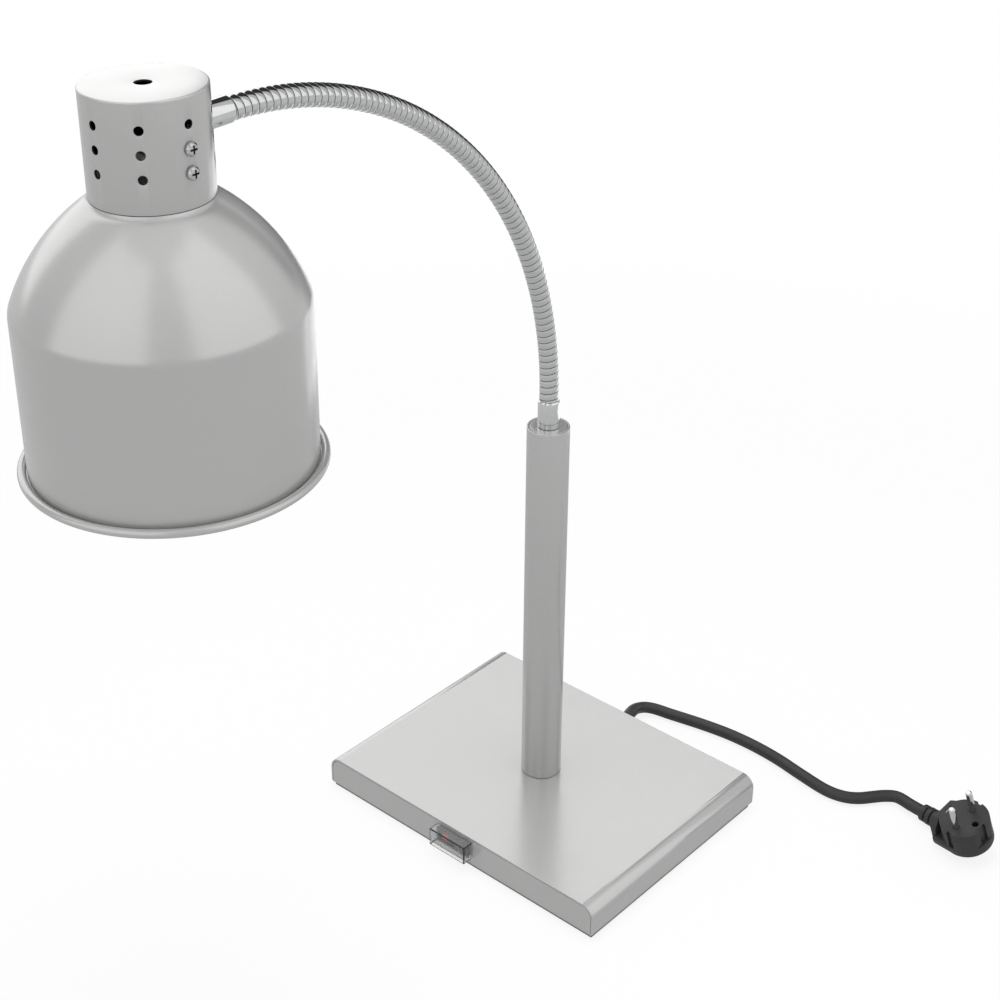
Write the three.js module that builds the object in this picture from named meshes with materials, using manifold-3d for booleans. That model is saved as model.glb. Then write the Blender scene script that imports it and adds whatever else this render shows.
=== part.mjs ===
// Food warming lamp: a heated-bulb head on a gooseneck, carried by a pole on a weighted base.
// Millimetres, +Z up. The origin is on the pole's axis, on the flat underside of the base.
// The switch is on the -Y side, the power cord leaves on the +Y side.
import * as THREE from 'three';
import { mergeVertices } from 'three/addons/utils/BufferGeometryUtils.js';
import Module from 'manifold-3d';

const wasm = await Module();
wasm.setup();

// Clearances
const seatGap = 0.3;
const threadGap = 0.15;
const slipGap = 0.2;

// Base
const baseWidth = 258;
const baseDepth = 195;
const baseTop = 27.5;
const skirtHeight = 3.5;
const coverSheet = 1.5;
const coverBend = 10;
const endSheet = 1.5;
const endFlange = 14;
const bottomInset = 2;
const bottomSheet = 3.2;
const ballastWidth = 200;
const ballastDepth = 136;
const ballastThickness = 8;
const ballastHole = 21;
const bottomScrewInset = 29;
const screwHeadRadius = 4;
const screwHeadHeight = 1.9;
const screwRadius = 2;
const screwLength = 9;

// Pole
const poleRadius = 15;
const poleWall = 1.5;
const poleTop = 321;
const plugDepth = 4;
const footPlugDepth = 12;
const spigotRadius = 8;
const spigotBore = 4.2;
const spigotLength = 13.5;
const washerRadius = 15;
const washerThickness = 1.5;
const poleNutWidth = 24;
const poleNutHeight = 6;

// Gooseneck
const neckArc = 267.6;
const neckRadius = 6.85;
const neckGroove = 6;
const neckBore = 3.8;
const neckLowStraight = 1.9;
const neckHighStraight = 0.5;
const neckPieces = 11;
const ribsPerPiece = 8;
const ribSides = 8;
const neckEndGroove = 4.8;
const neckJointGap = 0.9;
const ferruleRadius = 7.65;
const ferruleLength = 20.5;
const ferruleChamfer = 1.1;
const ferruleSpigot = 5;
const ferruleBore = 3.2;
const ferruleNutWidth = 14;
const ferruleNutHeight = 3.5;
const ferruleTail = 10;

// Head
const capRadius = 32.9;
const capRise = 26.7;
const capDrop = 31.5;
const capSheet = 1.2;
const capEdge = 1;
const capTopHole = 4.7;
const ventRadius = 2.5;
const ventPitch = 12.5;
const ventColumns = 8;
const wallRadius = 79.5;
const domeRadius = 120;
const shoulderAngle = THREE.MathUtils.degToRad(20.34);
const flareWidth = 2.6;
const flareDrop = 2.2;
const shadeSheet = 1.2;
const collarTuck = 10;
const beadRadius = 2.5;
const beadOffset = 2.95;
const shadeDepth = 152.3;
const bracketWidth = 14;
const bracketSheet = 1.5;
const holderRadius = 22;
const holderNeckRadius = 17;
const holderHeight = 44;
const holderWall = 7.2;
const shellWall = 0.5;
const nippleRadius = 5;
const bulbRadius = 61;
const bulbLength = 136;
const bulbGlass = 2.4;
const bulbBaseRadius = 13.2;
const bulbBaseHeight = 29;
const panHeadRadius = 3.7;
const panHeadHeight = 2.7;
const panScrewRadius = 1.9;
const panScrewLength = 8;

// Switch
const switchZ = 16.5;
const bezelWidth = 31;
const bezelHeight = 12.4;
const bezelThickness = 1.6;
const switchWidth = 27.6;
const switchHeight = 10.6;
const switchDepth = 19;
const rockerWidth = 24.6;
const rockerHeight = 8.2;
const rockerTilt = THREE.MathUtils.degToRad(9);
const rockerPivotDepth = 3;
const lensRadius = 3;
const lensOffset = 7.4;
const splashWidth = 34;
const splashHeight = 14.7;
const splashDepth = 8.6;
const splashWall = 0.7;
const bladeWidth = 4.8;
const bladeThickness = 0.8;
const bladeLength = 8;
const bladeX = 6;

// Mains cord
const cordRadius = 4.7;
const cordSides = 8;
const glandZ = 15;
const glandFlangeRadius = 7.5;
const glandFlange = 3;
const glandBodyRadius = 6.4;
const glandTail = 7;
const leadClear = 3.5;
const wireRadius = 1.3;
const wireStraight = 8;
const wireLoopX = 48;
const wireLoopY = 32;
const earthX = 4;
const earthRise = 6;
const leadRadius = 2.4;
const blockLength = 30;
const blockDepth = 16;
const blockHeight = 11;
const blockX = -44;
const blockY = 34;

// Angled plug, resting on its back with its pins up
const plugPlace = new THREE.Vector3(275.1, 160.4, 17.4);
const plugHeading = THREE.MathUtils.degToRad(-11);
const plugPitch = THREE.MathUtils.degToRad(-5.3);
const plugRoll = THREE.MathUtils.degToRad(18.4);
const plugFaceRadius = 18.2;
const plugFaceDepth = 16;
const plugClipSlot = 7;
const plugClipDepth = 1.8;
const plugGuideSlot = 4;
const plugGuideDepth = 1.8;
const plugEarthHole = 2.5;
const plugEarthOffset = 10;
const plugHousingHalf = 18.4;
const plugHousingDepth = 13;
const plugTaper = 7;
const plugFlat = 16;
const plugOutletX = 21.5;
const plugOutletZ = -6;
const plugOutletTop = 13;
const plugOutletThickness = 5;
const plugEdge = 3;
const reliefLength = 22;
const reliefRadius = 7.6;
const reliefTipRadius = 6.4;
const pinRadius = 2.4;
const pinLength = 19;
const pinRoot = 9;
const pinSpacing = 19;

// Places worked out from the sizes above
const ferruleTop = poleTop + ferruleLength;
const neckAxisZ = ferruleTop + neckLowStraight + neckArc;
const headY = -(neckArc + neckHighStraight + ferruleLength + capRadius);
const ceiling = baseTop - coverSheet;
const bottomScrewX = baseWidth / 2 - bottomScrewInset;
const capTop = neckAxisZ + capRise;
const capFoot = neckAxisZ - capDrop;
const capBore = capRadius - capSheet;
const domeCentreRadius = wallRadius - domeRadius * Math.cos(shoulderAngle);
const beadHeight = capFoot - shadeDepth;
const holderTop = neckAxisZ - neckRadius - 1;
const holderFoot = holderTop - holderHeight;
const bulbBaseTop = holderTop - holderWall - 4;
const bulbFace = bulbBaseTop - bulbLength;

// Materials
function paint(colour, roughness, metalness) {
  return new THREE.MeshStandardMaterial({ color: colour, roughness, metalness });
}
const silverPaint = paint(0xb4b4b2, 0.5, 0.25);
const chrome = paint(0xd6d8da, 0.16, 1);
const steel = paint(0x9a9c9e, 0.4, 0.9);
const castIron = paint(0x4a4b4d, 0.8, 0.5);
const brass = paint(0xb89a52, 0.35, 0.9);
const porcelain = paint(0xefece4, 0.35, 0);
const glass = paint(0xf1efe9, 0.1, 0);
const clearPlastic = paint(0xd9dcdc, 0.08, 0);
const blackPlastic = paint(0x222223, 0.5, 0);
const redPlastic = paint(0xc4423a, 0.25, 0);
const blackRubber = paint(0x1c1c1d, 0.7, 0);
const greyPlastic = paint(0x8d9092, 0.6, 0);
const brownWire = paint(0x6b4226, 0.6, 0);
const blueWire = paint(0x2c5aa8, 0.6, 0);
const earthWire = paint(0x7a9a2e, 0.6, 0);
const whiteSleeve = paint(0xdedbd2, 0.7, 0);

const lamp = new THREE.Group();
const head = new THREE.Group();
head.position.set(0, headY, 0);
lamp.add(head);
const plug = new THREE.Group();
plug.position.copy(plugPlace);
plug.rotation.set(plugRoll, plugPitch, plugHeading, 'ZYX');
lamp.add(plug);

// Adds one sub-part to a group under its name
function add(group, name, solid, material) {
  const mesh = new THREE.Mesh(toGeometry(solid), material);
  mesh.name = name;
  group.add(mesh);
  return mesh;
}

// A closed geometry as a solid whose faces point out
function toSolid(geometry) {
  geometry.deleteAttribute('normal');
  geometry.deleteAttribute('uv');
  const merged = mergeVertices(geometry, 1e-4);
  const points = merged.attributes.position;
  const corners = merged.index.array;
  const kept = [];
  const a = new THREE.Vector3();
  const b = new THREE.Vector3();
  const c = new THREE.Vector3();
  let volume = 0;
  for (let i = 0; i < corners.length; i += 3) {
    const [p, q, r] = [corners[i], corners[i + 1], corners[i + 2]];
    if (p === q || q === r || r === p) continue;
    kept.push(p, q, r);
    a.fromBufferAttribute(points, p);
    b.fromBufferAttribute(points, q);
    c.fromBufferAttribute(points, r);
    volume += a.dot(b.cross(c));
  }
  if (volume < 0) kept.reverse();
  return new wasm.Manifold(new wasm.Mesh({
    numProp: 3,
    vertProperties: new Float32Array(points.array),
    triVerts: new Uint32Array(kept),
  }));
}

// A solid as a three.js geometry
function toGeometry(solid) {
  const mesh = solid.getMesh();
  const geometry = new THREE.BufferGeometry();
  geometry.setAttribute('position', new THREE.BufferAttribute(mesh.vertProperties, 3));
  geometry.setIndex(new THREE.BufferAttribute(mesh.triVerts, 1));
  geometry.computeVertexNormals();
  return geometry;
}

// Blocks given by their low and high corners
function block(x0, y0, z0, x1, y1, z1) {
  const geometry = new THREE.BoxGeometry(x1 - x0, y1 - y0, z1 - z0);
  geometry.translate((x0 + x1) / 2, (y0 + y1) / 2, (z0 + z1) / 2);
  return toSolid(geometry);
}

// Round bars standing on z0; sides = 6 makes a hexagon whose flats face Y
function bar(radius, z0, z1, x = 0, y = 0, sides = 20) {
  const geometry = new THREE.CylinderGeometry(radius, radius, z1 - z0, sides);
  geometry.rotateX(Math.PI / 2);
  geometry.translate(x, y, (z0 + z1) / 2);
  return toSolid(geometry);
}

function tube(radius, bore, z0, z1, sides = 24) {
  return bar(radius, z0, z1, 0, 0, sides).subtract(bar(bore, z0 - 1, z1 + 1, 0, 0, sides));
}

// A nut of a given width across its flats
function nut(width, bore, z0, z1) {
  return bar(width / Math.sqrt(3), z0, z1, 0, 0, 6).subtract(bar(bore, z0 - 1, z1 + 1));
}

// A shape turned about the Z axis; the points are [radius, z]
function turned(points, sides = 36) {
  const profile = points.map(([radius, z]) => new THREE.Vector2(radius, z));
  const geometry = new THREE.LatheGeometry(profile, sides);
  geometry.rotateX(Math.PI / 2);
  return toSolid(geometry);
}

// Points on an arc in the [radius, z] plane
function arc(centreR, centreZ, radius, from, to, steps) {
  const points = [];
  for (let i = 0; i <= steps; i += 1) {
    const angle = from + (to - from) * i / steps;
    points.push([centreR + radius * Math.cos(angle), centreZ + radius * Math.sin(angle)]);
  }
  return points;
}

// The same solid, moved by a geometry step
function moved(solid, change) {
  const geometry = toGeometry(solid);
  change(geometry);
  return toSolid(geometry);
}

// An XZ outline pushed along Y from y0 to y1
function panel(shape, y0, y1) {
  const geometry = new THREE.ExtrudeGeometry(shape, {
    depth: y1 - y0, bevelEnabled: false, curveSegments: 6,
  });
  geometry.rotateX(Math.PI / 2);
  geometry.translate(0, y1, 0);
  return toSolid(geometry);
}

// A round wire or cord through a list of points
function cable(points, radius, sides, steps) {
  const circle = new THREE.Shape();
  circle.absarc(0, 0, radius, 0, Math.PI * 2);
  const outline = new THREE.Shape(circle.getSpacedPoints(sides).slice(0, sides));
  const geometry = new THREE.ExtrudeGeometry(outline, {
    extrudePath: new THREE.CatmullRomCurve3(points), steps, bevelEnabled: false,
  });
  return toSolid(geometry);
}

function at(x, y, z) {
  return new THREE.Vector3(x, y, z);
}

// Outline of the bent cover, offset inwards
function coverOutline(offset, foot) {
  const half = baseWidth / 2 - offset;
  const top = baseTop - offset;
  const bend = coverBend - offset;
  const shape = new THREE.Shape();
  shape.moveTo(-half, foot);
  shape.lineTo(half, foot);
  shape.lineTo(half, top - bend);
  shape.absarc(half - bend, top - bend, bend, 0, Math.PI / 2);
  shape.lineTo(-half + bend, top);
  shape.absarc(-half + bend, top - bend, bend, Math.PI / 2, Math.PI);
  shape.closePath();
  return shape;
}

// Base: bent sheet cover, two end plates, bottom plate and ballast
function addBase() {
  const front = -baseDepth / 2;
  const back = baseDepth / 2;
  const cover = panel(coverOutline(0, skirtHeight), front, back)
    .subtract(panel(coverOutline(coverSheet, skirtHeight - 1), front - 1, back + 1))
    .subtract(bar(spigotRadius + slipGap, ceiling - 1, baseTop + 1));
  add(lamp, 'base_cover', cover, silverPaint);

  const inside = coverSheet + seatGap;
  const flangeHalf = baseWidth / 2 - inside - 1;
  const screwHoleY = back - endFlange / 2;
  for (const [name, side] of [['front_plate', -1], ['rear_plate', 1]]) {
    const outer = side * back;
    const inner = side * (back - endSheet);
    const lip = side * (back - endFlange);
    let plate = panel(coverOutline(inside, skirtHeight), Math.min(outer, inner), Math.max(outer, inner));
    plate = plate.add(block(-flangeHalf, Math.min(outer, lip), skirtHeight,
      flangeHalf, Math.max(outer, lip), skirtHeight + endSheet));
    for (const x of [-bottomScrewX, bottomScrewX]) {
      plate = plate.subtract(bar(screwRadius + threadGap, 0, baseTop / 2, x, side * screwHoleY, 16));
    }
    if (side < 0) {
      const width = switchWidth / 2 + slipGap;
      const height = switchHeight / 2 + slipGap;
      plate = plate.subtract(block(-width, front - 1, switchZ - height,
        width, front + endSheet + 1, switchZ + height));
    } else {
      const hole = moved(bar(glandBodyRadius + slipGap, -endSheet - 1, endSheet + 1), (geometry) => {
        geometry.rotateX(Math.PI / 2);
        geometry.translate(0, back - endSheet / 2, glandZ);
      });
      plate = plate.subtract(hole);
    }
    add(lamp, name, plate, silverPaint);
  }

  const halfX = baseWidth / 2 - bottomInset;
  const halfY = back - bottomInset;
  let bottom = block(-halfX, -halfY, 0, halfX, halfY, bottomSheet);
  let number = 1;
  for (const x of [-bottomScrewX, bottomScrewX]) {
    for (const y of [-screwHoleY, screwHoleY]) {
      bottom = bottom.subtract(bar(screwHeadRadius + slipGap, -1, screwHeadHeight + slipGap * 2, x, y, 20));
      bottom = bottom.subtract(bar(screwRadius + slipGap, 0, bottomSheet + 1, x, y, 16));
      const screw = bar(screwHeadRadius, slipGap, screwHeadHeight, x, y, 16)
        .add(bar(screwRadius, screwHeadHeight - 0.5, screwLength, x, y, 12))
        .subtract(crossRecess(x, y, slipGap));
      add(lamp, `bottom_screw_${number}`, screw, steel);
      number += 1;
    }
  }
  add(lamp, 'bottom_plate', bottom, silverPaint);

  const ballastFoot = bottomSheet + seatGap;
  const ballast = block(-ballastWidth / 2, -ballastDepth / 2, ballastFoot,
    ballastWidth / 2, ballastDepth / 2, ballastFoot + ballastThickness)
    .subtract(bar(ballastHole, 0, baseTop));
  add(lamp, 'ballast_plate', ballast, castIron);
}

// A cross recess cut up into a screw head from its face at z
function crossRecess(x, y, z) {
  const arm = screwHeadRadius * 0.55;
  const slot = 0.45;
  const depth = 1;
  return block(x - arm, y - slot, z - 1, x + arm, y + slot, z + depth)
    .add(block(x - slot, y - arm, z - 1, x + slot, y + arm, z + depth));
}

// Pole: tube, the plugs in its two ends, and the washer and nut that clamp it to the cover
function addPole() {
  const foot = baseTop + seatGap;
  const bore = poleRadius - poleWall;
  add(lamp, 'pole_tube', tube(poleRadius, bore, foot, poleTop), silverPaint);
  const topPlug = bar(bore - seatGap, poleTop - plugDepth, poleTop)
    .subtract(bar(ferruleSpigot + threadGap, poleTop - plugDepth - 1, poleTop + 1));
  add(lamp, 'pole_top_plug', topPlug, silverPaint);
  const footPlug = bar(bore - seatGap, foot, foot + footPlugDepth)
    .add(bar(spigotRadius, baseTop - spigotLength, foot + 1))
    .subtract(bar(spigotBore, 0, poleTop));
  add(lamp, 'pole_foot_plug', footPlug, steel);
  const washerTop = ceiling - seatGap;
  const nutTop = washerTop - washerThickness - seatGap;
  const washer = tube(washerRadius, spigotRadius + slipGap, washerTop - washerThickness, washerTop);
  add(lamp, 'pole_washer', washer, steel);
  const clampNut = nut(poleNutWidth, spigotRadius + threadGap, nutTop - poleNutHeight, nutTop);
  add(lamp, 'pole_nut', clampNut, steel);
}

// Gooseneck path from the lower ferrule (0) to the upper one (neckLength): a quarter circle between
// two short straight ends, from upright to level. Each stretch is [length, turn]
const neckStretches = [
  [neckLowStraight, 0],
  [neckArc * Math.PI / 2, Math.PI / 2],
  [neckHighStraight, 0],
];
const neckLength = neckStretches.reduce((sum, [length]) => sum + length, 0);

function neckFrame(distance) {
  let y = 0;
  let z = ferruleTop;
  let lean = 0;
  let left = distance;
  for (const [length, turn] of neckStretches) {
    const step = Math.min(left, length);
    const bend = turn * step / length;
    const chord = turn === 0 ? step : 2 * (length / turn) * Math.sin(bend / 2);
    y -= chord * Math.sin(lean + bend / 2);
    z += chord * Math.cos(lean + bend / 2);
    lean += bend;
    left -= step;
  }
  return { y, z, lean };
}

// A ring of points square to the neck's path
function neckRing(distance, radius) {
  const { y, z, lean } = neckFrame(distance);
  const ring = [];
  for (let i = 0; i < ribSides; i += 1) {
    const angle = (i + 0.5) * 2 * Math.PI / ribSides;
    const side = radius * Math.cos(angle);
    const out = radius * Math.sin(angle);
    ring.push(side, y + out * Math.cos(lean), z + out * Math.sin(lean));
  }
  return ring;
}

// One ribbed piece of the neck with its bore, cut square at both ends
function neckPiece(start, end) {
  const pitch = (end - start) / ribsPerPiece;
  const rings = [neckRing(start, neckEndGroove)];
  for (let rib = 0; rib < ribsPerPiece; rib += 1) {
    const last = rib === ribsPerPiece - 1;
    rings.push(neckRing(start + (rib + 0.5) * pitch, neckRadius));
    rings.push(neckRing(start + (rib + 1) * pitch, last ? neckEndGroove : neckGroove));
  }
  rings.push(neckRing(end, neckBore), neckRing((start + end) / 2, neckBore), neckRing(start, neckBore));
  const corners = [];
  for (let i = 0; i < rings.length; i += 1) {
    const here = i * ribSides;
    const next = ((i + 1) % rings.length) * ribSides;
    for (let k = 0; k < ribSides; k += 1) {
      const turn = (k + 1) % ribSides;
      corners.push(here + k, here + turn, next + turn, here + k, next + turn, next + k);
    }
  }
  const geometry = new THREE.BufferGeometry();
  geometry.setAttribute('position', new THREE.Float32BufferAttribute(rings.flat(), 3));
  geometry.setIndex(corners);
  return toSolid(geometry);
}

// A ferrule along Z: threaded tail below 0, chamfered sleeve above it
function ferrule() {
  const chamferFoot = ferruleLength - ferruleChamfer;
  return turned([
    [ferruleBore, -ferruleTail], [ferruleSpigot, -ferruleTail], [ferruleSpigot, seatGap],
    [ferruleRadius, seatGap], [ferruleRadius, chamferFoot],
    [ferruleRadius - ferruleChamfer, ferruleLength], [ferruleBore, ferruleLength],
    [ferruleBore, -ferruleTail],
  ], 24);
}

// Points a piece made along Z at the head's wall, facing back along -Y
function towardsCap(solid) {
  return moved(solid, (geometry) => {
    geometry.rotateX(-Math.PI / 2);
    geometry.translate(0, capRadius, neckAxisZ);
  });
}

function addNeck() {
  const lower = moved(ferrule(), (geometry) => geometry.translate(0, 0, poleTop));
  add(lamp, 'ferrule_lower', lower, chrome);
  const nutTop = poleTop - plugDepth - seatGap;
  const nutBore = ferruleSpigot + threadGap;
  const lowerNut = nut(ferruleNutWidth, nutBore, nutTop - ferruleNutHeight, nutTop);
  add(lamp, 'ferrule_lower_nut', lowerNut, steel);
  const pieceLength = neckLength / neckPieces;
  for (let i = 0; i < neckPieces; i += 1) {
    const start = i * pieceLength + (i === 0 ? seatGap : neckJointGap / 2);
    const end = (i + 1) * pieceLength - (i === neckPieces - 1 ? seatGap : neckJointGap / 2);
    add(lamp, `neck_${i + 1}`, neckPiece(start, end), chrome);
  }
  const upper = towardsCap(ferrule()).subtract(bar(capRadius + seatGap, capFoot, capTop, 0, 0, 96)
    .subtract(towardsCap(bar(ferruleSpigot + slipGap, -ferruleTail - 1, 1))));
  add(head, 'ferrule_upper', upper, chrome);
  const innerTop = -(capSheet + seatGap) - 0.6;
  const upperNut = towardsCap(nut(ferruleNutWidth, nutBore, innerTop - ferruleNutHeight, innerTop));
  add(head, 'ferrule_upper_nut', upperNut, steel);
}

// Turns a piece made along +X to a column's angle at a height
function atColumn(solid, angle, z) {
  return moved(solid, (geometry) => {
    geometry.rotateZ(angle);
    geometry.translate(0, 0, z);
  });
}

function alongX(solid) {
  return moved(solid, (geometry) => geometry.rotateY(Math.PI / 2));
}

// Cap: a cup with columns of three vents, its middle row level with the neck
function addCap() {
  let cap = turned([
    [capBore, capFoot + seatGap], [capRadius, capFoot + seatGap],
    ...arc(capRadius - capEdge, capTop - capEdge, capEdge, 0, Math.PI / 2, 2),
    [capTopHole, capTop], [capTopHole, capTop - capSheet], [capBore, capTop - capSheet],
    [capBore, capFoot + seatGap],
  ]);
  const vent = alongX(bar(ventRadius, capBore - 2, capRadius + 2, 0, 0, 8));
  for (let column = 0; column < ventColumns; column += 1) {
    const angle = column * 2 * Math.PI / ventColumns;
    for (const row of [-1, 0, 1]) {
      const atNeck = row === 0 && Math.abs(angle - Math.PI / 2) < 0.1;
      if (!atNeck) cap = cap.subtract(atColumn(vent, angle, neckAxisZ + row * ventPitch));
    }
  }
  cap = cap.subtract(towardsCap(bar(ferruleSpigot + slipGap, -capSheet - 3, 2)));
  add(head, 'lamp_cap', cap, silverPaint);
}

// Shade: rolled bead, upright wall, dome struck from beyond the axis, collar tucked into the cap
function addShade() {
  const flareRadius = capRadius + flareWidth;
  const tipZ = capFoot - flareDrop;
  const outerTip = Math.acos((flareRadius - domeCentreRadius) / domeRadius);
  const domeZ = tipZ - domeRadius * Math.sin(outerTip);
  const innerDome = domeRadius - shadeSheet;
  const innerWall = wallRadius - shadeSheet;
  const innerFoot = Math.acos((innerWall - domeCentreRadius) / innerDome);
  const innerTipRadius = capRadius - shadeSheet / 2;
  const innerTip = Math.acos((innerTipRadius - domeCentreRadius) / innerDome);
  const neckOuter = capBore - seatGap;
  const neckInner = neckOuter - shadeSheet;
  const beadCentre = wallRadius + beadOffset;
  const beadEnd = -0.7 * Math.PI;
  const shade = turned([
    ...arc(domeCentreRadius, domeZ, domeRadius, outerTip, shoulderAngle, 7),
    [wallRadius, beadHeight],
    ...arc(beadCentre, beadHeight, beadRadius, Math.PI, beadEnd, 7),
    [innerWall, beadHeight],
    ...arc(domeCentreRadius, domeZ, innerDome, innerFoot, innerTip, 4),
    [neckInner, capFoot - shadeSheet], [neckInner, capFoot + collarTuck],
    [neckOuter, capFoot + collarTuck], [neckOuter, capFoot], [capRadius, capFoot],
    [capRadius + flareWidth * 0.17, capFoot - flareDrop * 0.25],
    [capRadius + flareWidth * 0.48, capFoot - flareDrop * 0.72], [flareRadius, tipZ],
  ]);
  add(head, 'shade', shade, silverPaint);
}

// Lampholder, its bracket across the cap, the four screws that hold it, and the bulb
function addLampAndHolder() {
  const barZ = holderTop + seatGap;
  const legOuter = capBore - seatGap;
  const legLow = capFoot + collarTuck + seatGap;
  const legHigh = neckAxisZ + ventRadius * 2;
  const legs = tube(legOuter, legOuter - bracketSheet, legLow, legHigh, 96)
    .intersect(block(-capRadius, -bracketWidth / 2, legLow, capRadius, bracketWidth / 2, legHigh));
  const bridgeEnd = Math.sqrt(legOuter ** 2 - (bracketWidth / 2) ** 2) - 0.1;
  const bridge = block(-bridgeEnd, -bracketWidth / 2, barZ,
    bridgeEnd, bracketWidth / 2, barZ + bracketSheet);
  let bracket = legs.add(bridge)
    .subtract(bar(nippleRadius + slipGap, barZ - 1, barZ + bracketSheet + 1));
  const threadHole = alongX(bar(panScrewRadius + threadGap, legOuter - 4, legOuter + 2, 0, 0, 16));
  const screw = turned([
    [0, capRadius - panScrewLength], [panScrewRadius, capRadius - panScrewLength],
    [panScrewRadius, capRadius + seatGap], [panHeadRadius, capRadius + seatGap],
    [panHeadRadius, capRadius + seatGap + 0.9],
    [panHeadRadius * 0.8, capRadius + seatGap + panHeadHeight * 0.8],
    [0, capRadius + seatGap + panHeadHeight],
  ], 12);
  const recessFoot = capRadius + panHeadHeight - 0.8;
  const recess = block(-2.1, -0.45, recessFoot, 2.1, 0.45, recessFoot + 3)
    .add(block(-0.45, -2.1, recessFoot, 0.45, 2.1, recessFoot + 3));
  const panScrew = alongX(screw.subtract(recess));
  let number = 1;
  for (const angle of [0, Math.PI]) {
    for (const row of [0, -1]) {
      const z = neckAxisZ + row * ventPitch;
      bracket = bracket.subtract(atColumn(threadHole, angle, z));
      add(head, `cap_screw_${number}`, atColumn(panScrew, angle, z), chrome);
      number += 1;
    }
  }
  add(head, 'holder_bracket', bracket, steel);

  const shellRadius = bulbBaseRadius + seatGap;
  const holderBore = shellRadius + shellWall + slipGap;
  const holder = turned([
    [nippleRadius + threadGap, holderTop], [holderNeckRadius, holderTop],
    [holderNeckRadius, holderTop - 10], [holderRadius, holderTop - 15],
    [holderRadius, holderFoot + 2], [holderRadius - 1.5, holderFoot],
    [holderBore, holderFoot], [holderBore, holderTop - holderWall],
    [nippleRadius + threadGap, holderTop - holderWall], [nippleRadius + threadGap, holderTop],
  ], 24);
  add(head, 'lampholder', holder, porcelain);
  const shellTop = holderTop - holderWall - seatGap;
  add(head, 'holder_shell', tube(shellRadius + shellWall, shellRadius, shellTop - 27, shellTop), brass);
  const nipple = turned([
    [2.6, holderTop - holderWall], [nippleRadius, holderTop - holderWall],
    [nippleRadius, barZ + bracketSheet + seatGap], [8, barZ + bracketSheet + seatGap],
    [8, barZ + bracketSheet + seatGap + 3], [2.6, barZ + bracketSheet + seatGap + 3],
    [2.6, holderTop - holderWall],
  ], 24);
  add(head, 'holder_nipple', nipple, steel);

  const baseFoot = bulbBaseTop - bulbBaseHeight;
  const glassNeck = bulbBaseRadius - 2.2;
  const bulbBase = turned([
    [0, bulbBaseTop + 1.6], [4, bulbBaseTop + 1.2], [5, bulbBaseTop], [9, bulbBaseTop - 1],
    [bulbBaseRadius, bulbBaseTop - 4], [bulbBaseRadius, baseFoot], [glassNeck + seatGap, baseFoot],
    [glassNeck + seatGap, baseFoot + 7], [0, baseFoot + 7],
  ], 24);
  add(head, 'bulb_base', bulbBase, steel);
  const glassLength = baseFoot - bulbFace;
  // Shares of the bulb's radius and of its glass's length, from the face's middle to the neck
  const curve = [
    [0, 0], [0.5, 0.011], [0.92, 0.047], [1, 0.085], [1, 0.12], [0.95, 0.17],
    [0.85, 0.36], [0.68, 0.58], [0.48, 0.77], [0.3, 0.9],
  ];
  const outer = [
    ...curve.map(([across, along]) => [bulbRadius * across, bulbFace + glassLength * along]),
    [glassNeck, baseFoot - 2], [glassNeck, baseFoot + 6],
  ];
  const inner = outer.map(([radius, z], i) => [
    Math.max(0, radius - bulbGlass), i < 4 ? z + bulbGlass : z,
  ]).reverse();
  add(head, 'bulb_glass', turned([...outer, ...inner], 22), glass);
}

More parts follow.
